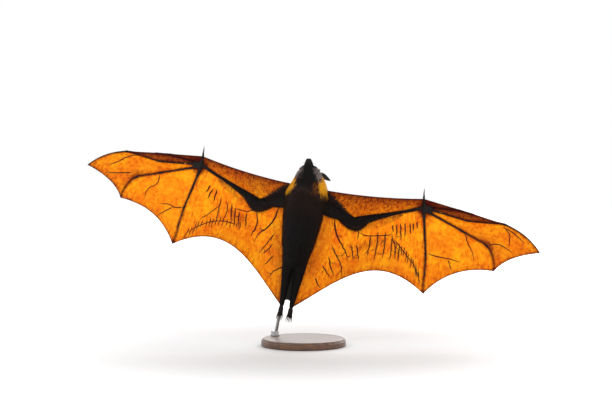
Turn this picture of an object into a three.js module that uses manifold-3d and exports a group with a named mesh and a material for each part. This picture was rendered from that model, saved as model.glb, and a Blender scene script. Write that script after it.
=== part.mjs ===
// A large flying fox gliding with both wings spread, life size, held upright on a plain display stand.
// Millimetres. Z is up, the belly faces -Y, and the animal's left wing points along +X.
// The animal is first modelled level: x to its left, y towards its back, z along the spine to the head.
// The flesh is modelled out to the tips of the coat. It is made whole and parted with thin cuts.

import * as THREE from 'three';
import { mergeVertices } from 'three/addons/utils/BufferGeometryUtils.js';
import Module from 'manifold-3d';

const wasm = await Module();
wasm.setup();

const V = (x = 0, y = 0, z = 0) => new THREE.Vector3(x, y, z);
const { lerp, degToRad } = THREE.MathUtils;

// ---------------------------------------------------------------- driving dimensions

const BANK = 10.5; // degrees that the animal rolls, left wing down
const GAP = 0.3; // clearance between neighbouring pieces
const WEB_THICK = 0.8; // wing membrane
const SHORT_EDGE = 0.15; // edges shorter than this close up after cutting
const FLAT_CORNER = 0.015; // a corner this near its opposite edge counts as on it
const RELIEF_PASSES = 6;

// Bones: length, heading in the wing plane (0 is straight out, 90 is forward), rise towards the back.
const SHOULDER = V(26, 14, -15);
const UPPER_ARM = { length: 99, heading: -15.7, rise: 21.3 };
const FOREARM = { length: 171, heading: 21.3, rise: 4 };
const THUMB = [
  { length: 21.5, heading: 100, rise: -40 },
  { length: 19, heading: 96, rise: -40 },
];
const THUMB_CLAW = { length: 14, heading: 93, rise: -20, hook: 3.2, thick: 1.7 };
const FINGER_2 = [
  { length: 80.5, heading: 3.6, rise: 3.6 },
  { length: 31.5, heading: -5.5, rise: 3.7 },
];
const FINGER_3 = [
  { length: 100.5, heading: -7.1, rise: 8 },
  { length: 86, heading: 5.6, rise: 6.7 },
  { length: 109, heading: -28.5, rise: 5.5, bow: 9 },
];
const FINGER_4 = [
  { length: 94.5, heading: -19.2, rise: 9.1 },
  { length: 68, heading: -20.4, rise: 9.3 },
  { length: 64, heading: -63, rise: -1.8, bow: 6 },
];
const FINGER_5 = [
  { length: 101.5, heading: -76.9, rise: 0.6 },
  { length: 46.5, heading: -82.6, rise: -1.2 },
  { length: 47.5, heading: -82.7, rise: -6, bow: -1.5 },
];

// Where each finger leaves the wrist, as an offset from its centre, and how thick its bones are.
const KNUCKLES = {
  2: { offset: V(4, -1, 4), base: 2.3, tip: 1.2, joint: 0.5 },
  3: { offset: V(5, 0, -1), base: 3.1, tip: 1.3, joint: 1.2 },
  4: { offset: V(6, 0, -8), base: 2.8, tip: 1.2, joint: 1.1 },
  5: { offset: V(-1, 0, -10), base: 3.6, tip: 1.2, joint: 0.8 },
};

// The spine from rump to nose, and the coat's half sizes along it. The head dips and turns a little.
const SPINE = [
  V(0, 9, -178), V(0, 6, -130), V(0, 2, -60), V(0, 2, -5), V(0, 3, 24), V(-2.5, -5, 50), V(-7, -21.5, 84.5), V(-7.4, -22.9, 88),
];
const COAT = [
  { at: -178, side: 5, back: 4, belly: 4 },
  { at: -172, side: 15, back: 12, belly: 12 },
  { at: -158, side: 25.5, back: 21, belly: 20 },
  { at: -122, side: 37, back: 30, belly: 30 },
  { at: -80, side: 43.5, back: 36, belly: 37 },
  { at: -38, side: 47.5, back: 40, belly: 42 },
  { at: -5, side: 48, back: 41, belly: 42 },
  { at: 20, side: 46, back: 38, belly: 38 },
  { at: 36, side: 39.5, back: 33, belly: 30 },
  { at: 49, side: 32, back: 27.5, belly: 21.5 },
  { at: 58, side: 25.5, back: 21.5, belly: 15.5 },
  { at: 66, side: 17.5, back: 14.2, belly: 12 },
  { at: 73, side: 11.4, back: 9.6, belly: 10.2 },
  { at: 80, side: 8.9, back: 8, belly: 8.8 },
  { at: 85, side: 7.8, back: 6.6, belly: 7 },
  { at: 87.4, side: 4.4, back: 3.6, belly: 3.6 },
];
const NECK_FROM = 12; // the mantle, between the trunk and the head
const NECK_TO = 37;
const NOSE_FROM = 81.5;

const EYE = { at: 62.5, side: 15.3, up: 6.5, radius: 5.6 };
const EAR = { at: 46, side: 23, up: 15, length: 33, width: 19, thick: 2.6, cup: 3.5 };
const EAR_HEADING = { left: V(0.62, 0.42, -0.22), right: V(-0.34, 0.6, -0.42) }; // the right ear is laid back
const EAR_FACING = V(0.45, -0.35, 0.8);

// Coat radii along the arm, by share of its length from shoulder to wrist.
const ARM_COAT = [
  { at: 0, radius: 20 }, { at: 0.12, radius: 17.5 }, { at: 0.25, radius: 13.5 }, { at: 0.36, radius: 13 },
  { at: 0.46, radius: 11.5 }, { at: 0.6, radius: 8.2 }, { at: 0.75, radius: 5.6 }, { at: 1, radius: 5.4 },
];
const ELBOW_TUFT = { radius: V(13, 8, 10), back: 9 }; // the fringe of fur behind the elbow
const WRIST = { radius: V(11.5, 7, 13), offset: V(0, -1, -2) };

// Legs lie straight back, side by side.
const HIP = V(15.2, 5, -140);
const KNEE = V(13.6, 8, -189);
const ANKLE = V(11.6, 3, -268);
const LEG_COAT = [
  { at: 0, radius: 17 }, { at: 0.2, radius: 15.5 }, { at: 0.4, radius: 13 }, { at: 0.6, radius: 10.4 },
  { at: 0.85, radius: 7.4 }, { at: 1, radius: 5.6 },
];
const FOOT = { length: 21, side: 6.6, thick: 4.4, toes: 5, fan: 5.4, toe: 13, toe_radius: 1.75 };
const CLAW = { length: 10, hook: 4.5, radius: 1.3 };

// Free edges of the membranes: how far each is drawn in from the straight line between its ends.
const EDGE_3_4 = 14;
const EDGE_4_5 = 23;
const EDGE_5_ANKLE = { sag: 64, skew: 1 };
const EDGE_SHOULDER = V(43, 8, 21); // where the front membrane leaves the side of the neck
const EDGE_SHOULDER_SAG = 5;
const CAMBER = { hand: 9, arm: 17, front: -3 }; // how far the membranes belly out towards the back

// Display stand.
const BASE = { radius: 100, height: 18, edge: 3, sides: 40 };
const FOOT_CLEARANCE = 38; // from the claws down to the base
const ROD = { radius: 4, foot: V(-19.5, 46, -350), head: V(-15, 22, -122), sides: 12 };
const SOCKET = { radius: 11, height: 12 };
const BASE_SHIFT = V(9, -12, 0); // sets the weight over the middle of the base

// ---------------------------------------------------------------- solids

function solid(geometry) {
  const bare = geometry.clone();
  bare.deleteAttribute('normal');
  bare.deleteAttribute('uv');
  const merged = mergeVertices(bare, 1e-4);
  return new wasm.Manifold(new wasm.Mesh({
    numProp: 3,
    vertProperties: Float32Array.from(merged.attributes.position.array),
    triVerts: Uint32Array.from(merged.index.array),
  }));
}

function mirrored(geometry) {
  const copy = geometry.clone().scale(-1, 1, 1);
  const index = copy.index;
  for (let i = 0; i < index.count; i += 3) {
    const first = index.getX(i);
    index.setX(i, index.getX(i + 1));
    index.setX(i + 1, first);
  }
  return copy;
}

const onSide = (geometry, side) => solid(side > 0 ? geometry : mirrored(geometry));

const joined = (parts) => parts.reduce((whole, part) => whole.add(part));
const without = (whole, cutters) => cutters.reduce((rest, cutter) => rest.subtract(cutter), whole);

// A cut leaves its main piece: crumbs at the ends of a membrane are dropped.
function mainPiece(manifold) {
  const pieces = manifold.decompose();
  return pieces.reduce((best, piece) => (piece.volume() > best.volume() ? piece : best));
}

// ---------------------------------------------------------------- curves and lofts

// A value read smoothly from rows of { at, ... }.
function reading(rows, key) {
  return (at) => {
    const last = rows.length - 1;
    let i = 0;
    while (i < last - 1 && at > rows[i + 1].at) i += 1;
    const share = THREE.MathUtils.clamp((at - rows[i].at) / (rows[i + 1].at - rows[i].at), 0, 1);
    const slope = (j) => {
      const a = rows[Math.max(j - 1, 0)];
      const b = rows[Math.min(j + 1, last)];
      return (b[key] - a[key]) / (b.at - a.at);
    };
    const span = rows[i + 1].at - rows[i].at;
    const s2 = share * share;
    const s3 = s2 * share;
    return (2 * s3 - 3 * s2 + 1) * rows[i][key] + (s3 - 2 * s2 + share) * span * slope(i)
      + (3 * s2 - 2 * s3) * rows[i + 1][key] + (s3 - s2) * span * slope(i + 1);
  };
}

// Warps a cylinder along a curve. place(t) gives { centre, tangent, across }, and radius(t, angle) the reach.
function loft({ sides, rings, place, radius }) {
  const geometry = new THREE.CylinderGeometry(1, 1, 1, sides, rings);
  const position = geometry.attributes.position;
  for (let i = 0; i < position.count; i += 1) {
    const t = position.getY(i) + 0.5;
    const x = position.getX(i);
    const z = position.getZ(i);
    const { centre, tangent, across } = place(t);
    const side = across.clone().addScaledVector(tangent, -across.dot(tangent)).normalize();
    const down = side.clone().cross(tangent);
    const angle = Math.atan2(z, x);
    const reach = Math.hypot(x, z) * radius(t, angle);
    const point = centre.clone().addScaledVector(side, Math.cos(angle) * reach);
    point.addScaledVector(down, Math.sin(angle) * reach);
    position.setXYZ(i, point.x, point.y, point.z);
  }
  return geometry;
}

// A round tube along a curve, whose radius is a function of the share t of its length.
function tube(curve, radius, { sides = 8, rings = 12, grow = 0 } = {}) {
  return loft({
    sides,
    rings,
    place: (t) => ({ centre: curve.getPointAt(t), tangent: curve.getTangentAt(t), across: V(0, 1, 0) }),
    radius: (t) => radius(t) + grow,
  });
}

const heading = ({ length, heading: turn, rise }) => V(
  Math.cos(degToRad(turn)) * Math.cos(degToRad(rise)),
  Math.sin(degToRad(rise)),
  Math.sin(degToRad(turn)) * Math.cos(degToRad(rise)),
).multiplyScalar(length);

// The line of a chain of bones, each straight or bowed forward in the wing plane.
function chain(start, bones) {
  const path = new THREE.CurvePath();
  let from = start.clone();
  const joints = [from.clone()];
  for (const bone of bones) {
    const step = heading(bone);
    const to = from.clone().add(step);
    const bow = V(-step.z, 0, step.x).normalize().multiplyScalar(2 * (bone.bow ?? 0));
    path.add(new THREE.QuadraticBezierCurve3(from, from.clone().lerp(to, 0.5).add(bow), to));
    joints.push(to.clone());
    from = to;
  }
  const total = bones.reduce((sum, bone) => sum + bone.length, 0);
  let passed = 0;
  const shares = bones.map((bone) => (passed += bone.length) / total);
  return { path, joints, shares, total };
}

// A path resampled as one smooth curve, so that a tube turns gently at each joint.
function smooth(path, count) {
  const points = [];
  for (let i = 0; i <= count; i += 1) points.push(path.getPointAt(i / count));
  return new THREE.CatmullRomCurve3(points, false, 'centripetal');
}

// ---------------------------------------------------------------- trunk, neck and head

const spine = new THREE.CatmullRomCurve3(SPINE, false, 'centripetal');

function spineAt(z) {
  let low = 0;
  let high = 1;
  for (let i = 0; i < 24; i += 1) {
    const middle = (low + high) / 2;
    if (spine.getPoint(middle).z < z) low = middle;
    else high = middle;
  }
  return { centre: spine.getPoint(low), tangent: spine.getTangent(low), across: V(1, 0, 0) };
}

// A point beside the spine: to the left, and up towards the back, square to the spine.
function beside({ at, side, up }, mirror = 1) {
  const { centre, tangent } = spineAt(at);
  const left = V(1, 0, 0).addScaledVector(tangent, -tangent.x).normalize();
  const back = tangent.clone().cross(left);
  return centre.clone().addScaledVector(left, side * mirror).addScaledVector(back, up);
}

function bodyLoft(grow) {
  const first = COAT[0].at;
  const last = COAT[COAT.length - 1].at;
  const [side, back, belly] = ['side', 'back', 'belly'].map((key) => reading(COAT, key));
  const alongHead = (t) => lerp(first, last, t) + 14 * Math.sin(Math.PI * t); // more rings on the head
  return loft({
    sides: 18,
    rings: 22,
    place: (t) => spineAt(alongHead(t)),
    radius: (t, angle) => {
      const at = alongHead(t);
      const deep = Math.sin(angle) > 0 ? belly(at) : back(at);
      return Math.hypot(Math.cos(angle) * side(at), Math.sin(angle) * deep) + grow;
    },
  });
}

// A large block whose face crosses the spine at z, reaching forward (1) or back (-1) from it.
function block(z, way) {
  const { centre, tangent } = spineAt(z);
  const size = 400;
  const box = new THREE.BoxGeometry(size, size, size).translate(0, 0, way * (size / 2 - GAP / 2));
  box.applyQuaternion(new THREE.Quaternion().setFromUnitVectors(V(0, 0, 1), tangent));
  return solid(box.translate(centre.x, centre.y, centre.z));
}

const ball = (centre, radii, across = 16, up = 10) => new THREE.SphereGeometry(1, across, up)
  .scale(radii.x, radii.y, radii.z).translate(centre.x, centre.y, centre.z);

const even = (radius) => V(radius, radius, radius);

// A leaf-shaped ear, cupped towards its facing side.
function ear(name, mirror, grow) {
  const root = beside(EAR, mirror);
  const along = EAR_HEADING[name].clone().normalize();
  const facing = EAR_FACING.clone().multiply(V(mirror, 1, 1));
  facing.addScaledVector(along, -facing.dot(along)).normalize();
  const across = along.clone().cross(facing);
  const geometry = new THREE.SphereGeometry(1, 10, 8);
  const position = geometry.attributes.position;
  for (let i = 0; i < position.count; i += 1) {
    const [x, y, z] = [position.getX(i), position.getY(i), position.getZ(i)];
    const share = (y + 1) / 2;
    const taper = 1.12 - 0.62 * share ** 1.6;
    const wide = x * (EAR.width / 2 + grow) * taper;
    const deep = z * (EAR.thick / 2 + grow) + EAR.cup * (x * x - 0.5) * (0.4 + 0.6 * (1 - share));
    const point = root.clone().addScaledVector(along, lerp(-7 - grow, EAR.length + grow, share));
    point.addScaledVector(across, wide).addScaledVector(facing, deep);
    position.setXYZ(i, point.x, point.y, point.z);
  }
  return solid(mended(geometry));
}

// Turns a closed mesh the right way out, whichever way the warp left it.
function mended(geometry) {
  const position = geometry.attributes.position;
  const index = geometry.index;
  let volume = 0;
  const corner = [V(0, 0, 0), V(0, 0, 0), V(0, 0, 0)];
  for (let i = 0; i < index.count; i += 3) {
    corner.forEach((c, k) => c.fromBufferAttribute(position, index.getX(i + k)));
    volume += corner[0].dot(corner[1].clone().cross(corner[2]));
  }
  if (volume > 0) return geometry;
  const flipped = mirrored(geometry);
  return flipped.scale(-1, 1, 1);
}

// ---------------------------------------------------------------- arms, hands and legs

const armChain = chain(SHOULDER, [UPPER_ARM, FOREARM]);
const [, elbow, wrist] = armChain.joints;
const armCurve = smooth(armChain.path, 14);
const armRadius = reading(ARM_COAT, 'radius');
const elbowShare = armChain.shares[0];

const thumb = chain(wrist.clone().add(V(-2, -3, 4)), THUMB);
const finger = {};
for (const [number, bones] of Object.entries({ 2: FINGER_2, 3: FINGER_3, 4: FINGER_4, 5: FINGER_5 })) {
  const made = chain(wrist.clone().add(KNUCKLES[number].offset), bones);
  finger[number] = { ...made, curve: smooth(made.path, 16), ...KNUCKLES[number] };
}

function fingerTube({ curve, shares, total, base, tip, joint }, grow) {
  const knuckle = (t) => shares.slice(0, -1)
    .reduce((most, share) => Math.max(most, Math.exp(-((((t - share) * total) / 8) ** 2))), 0);
  const radius = (t) => lerp(base, tip, t ** 0.8) + joint * knuckle(t);
  return tube(curve, radius, { sides: 6, rings: 11, grow });
}

// A claw: a tapered, hooked tube. hook bends it towards a direction.
function claw(root, along, bend, { length, hook, radius }, grow = 0) {
  const middle = root.clone().addScaledVector(along, length * 0.6).addScaledVector(bend, -hook * 0.12);
  const end = root.clone().addScaledVector(along, length).addScaledVector(bend, hook);
  const curve = new THREE.QuadraticBezierCurve3(root, middle, end);
  return tube(curve, (t) => lerp(radius, 0.45, t), { sides: 4, rings: 3, grow });
}

const legCurve = new THREE.CatmullRomCurve3([HIP, KNEE, ANKLE], false, 'centripetal');
const legRadius = reading(LEG_COAT, 'radius');

function foot(grow) {
  const start = ANKLE.clone().add(V(0, 0, 3));
  const sole = ball(start.clone().add(V(0, -0.5, -FOOT.length * 0.55)), V(FOOT.side, FOOT.thick, FOOT.length * 0.62), 8, 4);
  const parts = [solid(sole)];
  for (let i = 0; i < FOOT.toes; i += 1) {
    const spread = (i / (FOOT.toes - 1) - 0.5) * 2;
    const root = start.clone().add(V(spread * FOOT.side * 0.66, -0.5, -FOOT.length * 0.75));
    const tip = root.clone().add(V(spread * (FOOT.fan - FOOT.side * 0.5), -1.5, -FOOT.toe + Math.abs(spread) * 1.5));
    const toeCurve = new THREE.LineCurve3(root, tip);
    parts.push(solid(tube(toeCurve, (t) => FOOT.toe_radius * (1 + 0.12 * Math.sin(9 * t)), { sides: 5, rings: 1, grow })));
    parts.push(solid(claw(tip.clone().add(V(0, 0, 1)), V(0.05 * spread, 0, -1), V(0, -1, 0), CLAW, grow)));
  }
  return joined(parts);
}

// ---------------------------------------------------------------- membranes

// A membrane of even thickness over a surface given by point(s, t).
function sheet(point, across, down) {
  const geometry = new THREE.BoxGeometry(1, 1, 1, across, down, 1);
  const position = geometry.attributes.position;
  const step = 0.004;
  for (let i = 0; i < position.count; i += 1) {
    const s = position.getX(i) + 0.5;
    const t = position.getY(i) + 0.5;
    const at = point(s, t);
    const alongS = point(Math.min(s + step, 1), t).sub(point(Math.max(s - step, 0), t));
    const alongT = point(s, Math.min(t + step, 1)).sub(point(s, Math.max(t - step, 0)));
    const normal = alongS.cross(alongT).normalize();
    at.addScaledVector(normal, position.getZ(i) * WEB_THICK);
    position.setXYZ(i, at.x, at.y, at.z);
  }
  // Both faces are split along the same diagonals, so that a twisted cell keeps its thickness.
  const { index, groups } = geometry;
  const [back] = groups.slice(-1);
  for (let i = back.start; i < back.start + back.count; i += 6) {
    const [a, b, d, c] = [0, 1, 2, 4].map((k) => index.getX(i + k));
    [a, b, c, a, c, d].forEach((corner, k) => index.setX(i + k, corner));
  }
  return mended(geometry);
}

const arch = (x) => 4 * x * (1 - x);

// The web between two fingers. Its free edge is drawn in by sag and it bellies by camber.
function handWeb(near, far, sag, camber, start = 0.025) {
  const inward = near(1).clone().add(far(1)).multiplyScalar(0.5).sub(wrist).normalize().negate();
  return (s, t) => {
    const down = lerp(start, 1, t);
    const at = near(down).clone().lerp(far(down), s);
    at.addScaledVector(inward, sag * arch(s) * down ** 2.4);
    at.y += camber * arch(s) * Math.sin(Math.PI * 0.85 * down);
    return at;
  };
}

const along = (curve) => (t) => curve.getPointAt(THREE.MathUtils.clamp(t, 0, 1));
const line = (a, b) => (t) => a.clone().lerp(b, t);

// The arm membrane: a patch between the arm, the fifth finger, the free edge and the flank.
const armLine = along(armCurve);
const finger5Edge = (t) => finger[5].curve.getPointAt(t) // begins at the wrist itself
  .addScaledVector(wrist.clone().sub(finger[5].joints[0]), (1 - t) ** 8);
const flankCurve = new THREE.CatmullRomCurve3([
  SHOULDER, V(31, 13, -60), V(27, 12, -118), V(20, 10, -170), V(14.5, 6, -218), ANKLE,
], false, 'centripetal');
const armEdge = (s) => {
  const tip = finger[5].joints[3];
  const at = ANKLE.clone().lerp(tip, s);
  const square = V(tip.z - ANKLE.z, 0, ANKLE.x - tip.x).normalize().negate();
  const drawn = EDGE_5_ANKLE.sag * arch(s) * (1 + EDGE_5_ANKLE.skew * (s - 0.5));
  return at.addScaledVector(square, drawn);
};

function armWeb(s, t) {
  const top = armLine(s);
  const bottom = armEdge(s);
  const left = along(flankCurve)(t);
  const right = finger5Edge(t);
  const corners = armLine(0).multiplyScalar((1 - s) * (1 - t)).add(armLine(1).multiplyScalar(s * (1 - t)))
    .add(armEdge(0).multiplyScalar((1 - s) * t)).add(armEdge(1).multiplyScalar(s * t));
  const at = top.multiplyScalar(1 - t).add(bottom.multiplyScalar(t))
    .add(left.multiplyScalar(1 - s)).add(right.multiplyScalar(s)).sub(corners);
  at.y += CAMBER.arm * arch(s) * Math.sin(Math.PI * 0.9 * t);
  return at;
}

const thumbRoot = thumb.joints[1];
const frontEdge = (s) => {
  const at = EDGE_SHOULDER.clone().lerp(thumbRoot, s);
  at.z -= EDGE_SHOULDER_SAG * arch(s);
  return at;
};

function frontWeb(s, t) {
  const at = armLine(lerp(0.02, 1, s)).lerp(frontEdge(s), t);
  at.y += CAMBER.front * arch(s) * arch(t);
  return at;
}

const shareOf = (fingerNumber, bones) => finger[fingerNumber].shares[bones - 1];
const leading = (t) => { // along the second finger, then straight to the third finger's last joint
  const bend = 0.58;
  const end = finger[3].joints[2];
  if (t < bend) return finger[2].curve.getPointAt(t / bend);
  return finger[2].joints[2].clone().lerp(end, (t - bend) / (1 - bend));
};

const WEBS = {
  propatagium: sheet(frontWeb, 10, 2),
  web_1_2: sheet((s, t) => finger[2].curve.getPointAt(lerp(0.04, 0.72, t))
    .lerp(line(thumbRoot, finger[2].curve.getPointAt(0.74))(t), s), 1, 5),
  web_2_3: sheet(handWeb((t) => finger[3].curve.getPointAt(t * shareOf(3, 2)), leading, 0, -2), 1, 10),
  web_3_4: sheet(handWeb(finger4Line, finger3Line, EDGE_3_4, CAMBER.hand), 4, 8),
  web_4_5: sheet(handWeb(finger5Line, finger4Line, EDGE_4_5, CAMBER.hand), 5, 6),
  plagiopatagium: sheet(armWeb, 10, 6),
};

function finger3Line(t) { return finger[3].curve.getPointAt(t); }
function finger4Line(t) { return finger[4].curve.getPointAt(t); }
function finger5Line(t) { return finger[5].curve.getPointAt(t); }

const tailWeb = sheet((s, t) => {
  const down = lerp(0.3, 0.86 + 0.08 * (1 - arch(s)), t);
  const inner = legCurve.getPointAt(down);
  return V(lerp(-inner.x, inner.x, s), inner.y - 0.5, inner.z);
}, 1, 4);

// ---------------------------------------------------------------- putting the animal together

const finish = (color, roughness, metalness = 0) => ({ color, roughness, metalness });
const FINISH = {
  coat: finish(0x241a17, 0.85),
  mantle: finish(0xc8801e, 0.85),
  head: finish(0x5a5048, 0.85),
  skin: finish(0x17110f, 0.6),
  web: finish(0xc8641a, 0.5),
  eye: finish(0x0c0705, 0.08),
  claw: finish(0x0d0b0a, 0.35),
  wood: finish(0x4a3220, 0.45),
  steel: finish(0x9a9c9e, 0.3, 1),
};

const pieces = []; // { name, manifold, finish }
const keep = (name, manifold, finishName) => pieces.push({ name, manifold: mainPiece(manifold), finishName });

const body = solid(bodyLoft(0));
const bodySpace = solid(bodyLoft(GAP));
const eyeCentre = { left: beside(EYE, 1), right: beside(EYE, -1) };
const rodCurve = new THREE.LineCurve3(ROD.foot, ROD.head);
const sides = { left: 1, right: -1 };

const limbSpace = [];
const limbs = [];
for (const [name, side] of Object.entries(sides)) {
  const arm = (grow) => onSide(tube(armCurve, armRadius, { sides: 9, rings: 11, grow }), side);
  const tuftCentre = elbow.clone().add(V(1, 0, -ELBOW_TUFT.back));
  const tuft = (grow) => onSide(ball(tuftCentre, ELBOW_TUFT.radius.clone().addScalar(grow), 8, 5), side);
  const hand = (grow) => onSide(ball(wrist.clone().add(WRIST.offset), WRIST.radius.clone().addScalar(grow), 10, 5), side);
  const leg = (grow) => onSide(tube(legCurve, legRadius, { sides: 10, rings: 6, grow }), side);
  const armWhole = arm(0).add(tuft(0));
  const armSpace = arm(GAP).add(tuft(GAP));

  // The elbow is parted square to the arm.
  const cut = armCurve.getPointAt(elbowShare);
  const turn = new THREE.Quaternion().setFromUnitVectors(V(0, 0, 1), armCurve.getTangentAt(elbowShare));
  const half = (way) => onSide(
    new THREE.BoxGeometry(90, 90, 240).translate(0, 0, way * (120 - GAP / 2)).applyQuaternion(turn).translate(cut.x, cut.y, cut.z),
    side,
  );
  limbs.push([`upper_arm_${name}`, without(armWhole.subtract(half(1)), [bodySpace]), 'coat']);
  limbs.push([`forearm_${name}`, without(armWhole.subtract(half(-1)), [hand(GAP)]), 'coat']);

  const thumbTube = (grow) => {
    const radius = reading([{ at: 0, radius: 6 }, { at: 0.45, radius: 3.4 }, { at: 0.9, radius: 2.4 }, { at: 1, radius: 2.2 }], 'radius');
    return onSide(tube(smooth(thumb.path, 6), radius, { sides: 6, rings: 7, grow }), side);
  };
  const clawRoot = thumb.joints[2].clone().lerp(thumb.joints[1], 0.12);
  const clawSize = { ...THUMB_CLAW, radius: THUMB_CLAW.thick };
  const clawAlong = heading({ ...THUMB_CLAW, length: 1 });
  const thumbClaw = (grow) => onSide(claw(clawRoot, clawAlong, V(0.1, -1, -0.3).normalize(), clawSize, grow), side);
  limbs.push([`wrist_${name}`, hand(0), 'skin']);
  limbs.push([`thumb_${name}`, without(thumbTube(0), [hand(GAP), thumbClaw(GAP)]), 'skin']);
  limbs.push([`thumb_claw_${name}`, thumbClaw(0), 'claw']);

  const fingerSpace = [];
  for (const number of [5, 4, 3, 2]) {
    const tubeOf = (grow) => onSide(fingerTube(finger[number], grow), side);
    limbs.push([`finger_${number}_${name}`, without(tubeOf(0), [hand(GAP), ...fingerSpace]), 'skin']);
    fingerSpace.push(tubeOf(GAP));
  }

  const otherHalf = onSide(new THREE.BoxGeometry(100, 100, 300).translate(GAP / 2 - 50, 0, HIP.z - 50), side);
  limbs.push([`leg_${name}`, without(leg(0), [bodySpace, otherHalf]), 'coat']);
  const footSolid = side > 0 ? foot(0) : mirroredSolid(foot(0));
  limbs.push([`foot_${name}`, footSolid.subtract(leg(GAP)), 'skin']);

  limbSpace.push({ name, side, cutters: [bodySpace, armSpace, hand(GAP), thumbTube(GAP), leg(GAP), ...fingerSpace] });
}

function mirroredSolid(manifold) {
  return solid(mended(mirrored(geometryOf(manifold))));
}

function geometryOf(manifold) {
  const { vertProperties, triVerts } = manifold.getMesh();
  const geometry = new THREE.BufferGeometry();
  geometry.setAttribute('position', new THREE.BufferAttribute(Float32Array.from(vertProperties), 3));
  geometry.setIndex(new THREE.BufferAttribute(Uint32Array.from(triVerts), 1));
  return geometry;
}

// Head, nose, neck and trunk, from one loft.
const rodSpace = solid(tube(rodCurve, () => ROD.radius + GAP, { sides: ROD.sides, rings: 1 }));
const eyes = (grow) => ['left', 'right'].map((name) => solid(ball(eyeCentre[name], even(EYE.radius + grow), 12, 7)));
keep('trunk', without(body, [block(NECK_FROM, 1), rodSpace]), 'coat');
keep('neck', without(body, [block(NECK_FROM, -1), block(NECK_TO, 1)]), 'mantle');
keep('head', without(body, [block(NECK_TO, -1), block(NOSE_FROM, 1), ...eyes(GAP)]), 'head');
keep('nose', without(body, [block(NOSE_FROM, -1)]), 'skin');
eyes(0).forEach((eye, i) => keep(`eye_${['left', 'right'][i]}`, eye, 'eye'));
Object.entries(sides).forEach(([name, side]) => keep(`ear_${name}`, ear(name, side, 0).subtract(bodySpace), 'skin'));

limbs.forEach(([name, manifold, finishName]) => keep(name, manifold, finishName));

for (const { name, side, cutters } of limbSpace) {
  const laid = [];
  for (const [web, geometry] of Object.entries(WEBS)) {
    const made = mainPiece(without(onSide(geometry, side), [...cutters, ...laid]));
    keep(`${web}_${name}`, made, 'web');
  }
}
keep('tail_web', without(solid(tailWeb), [bodySpace, limbSpace[0].cutters[4], limbSpace[1].cutters[4]]), 'web');

// Cutting leaves needle triangles. An edge shorter than SHORT_EDGE closes up, and a corner that lies on its
// opposite edge is joined across it, where the mesh stays closed.
function relieved(geometry) {
  const { position } = geometry.attributes;
  const points = Array.from({ length: position.count }, (_, i) => V().fromBufferAttribute(position, i));
  let faces = Array.from({ length: geometry.index.count / 3 }, (_, i) => [0, 1, 2].map((k) => geometry.index.getX(3 * i + k)));
  const normal = ([a, b, c]) => points[b].clone().sub(points[a]).cross(points[c].clone().sub(points[a]));
  for (let pass = 0; pass < RELIEF_PASSES; pass += 1) {
    const around = points.map(() => new Set());
    faces.forEach((face, i) => face.forEach((corner) => around[corner].add(i)));
    const neighbours = (a) => new Set([...around[a]].flatMap((i) => faces[i]).filter((other) => other !== a));
    const touched = new Set(); // faces that have changed in this pass
    const used = new Set();
    const free = (...corners) => corners.every((a) => [...around[a]].every((i) => !used.has(i)));
    const spend = (...corners) => corners.forEach((a) => around[a].forEach((i) => used.add(i)));
    faces.forEach((face, i) => {
      for (let k = 0; k < 3 && face && !touched.has(i); k += 1) {
        const [a, b, c] = [face[k], face[(k + 1) % 3], face[(k + 2) % 3]];
        if (!free(a, b, c)) continue;
        const length = points[a].distanceTo(points[b]);
        const shared = [...neighbours(a)].filter((other) => neighbours(b).has(other));
        if (length < SHORT_EDGE && shared.length === 2) {
          const kept = [...around[b]].filter((j) => !around[a].has(j));
          const moved = kept.map((j) => faces[j].map((corner) => (corner === b ? a : corner)));
          if (moved.every((after, j) => normal(after).dot(normal(faces[kept[j]])) > 0)) {
            spend(a, b);
            [...around[b]].filter((j) => around[a].has(j)).forEach((j) => { faces[j] = null; touched.add(j); });
            kept.forEach((j, n) => { faces[j] = moved[n]; touched.add(j); });
            return;
          }
        }
        const height = normal(face).length() / length;
        const across = [...around[a]].find((j) => j !== i && around[b].has(j));
        const far = faces[across].find((corner) => corner !== a && corner !== b);
        if (height < FLAT_CORNER && !neighbours(c).has(far) && free(far)) {
          const pair = [[a, far, c], [far, b, c]];
          const before = normal(faces[across]).normalize();
          if (pair.every((after) => normal(after).normalize().dot(before) > 0.9)) {
            spend(a, b, c, far);
            [faces[i], faces[across]] = pair;
            touched.add(i).add(across);
            return;
          }
        }
      }
    });
    if (!touched.size) break;
    faces = faces.filter(Boolean);
  }
  const order = [...new Set(faces.flat())];
  const place = new Map(order.map((corner, i) => [corner, i]));
  const relief = new THREE.BufferGeometry();
  relief.setAttribute('position', new THREE.Float32BufferAttribute(order.flatMap((corner) => points[corner].toArray()), 3));
  relief.setIndex(faces.flat().map((corner) => place.get(corner)));
  return relief;
}

// ---------------------------------------------------------------- scene graph

const group = new THREE.Group();

function place(parent, name, geometry, finishName) {
  const mesh = new THREE.Mesh(geometry, new THREE.MeshStandardMaterial(FINISH[finishName]));
  mesh.name = name;
  parent.add(mesh);
  return mesh;
}

const lowest = ANKLE.z + 3 - FOOT.length * 0.75 - FOOT.toe - CLAW.length;
const animal = new THREE.Group();
animal.rotation.y = degToRad(BANK);
animal.position.set(BASE_SHIFT.x, BASE_SHIFT.y, BASE.height + FOOT_CLEARANCE - lowest * Math.cos(degToRad(BANK)));
for (const { name, manifold, finishName } of pieces) {
  place(animal, name, relieved(geometryOf(manifold)), finishName);
}
group.add(animal);

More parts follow.
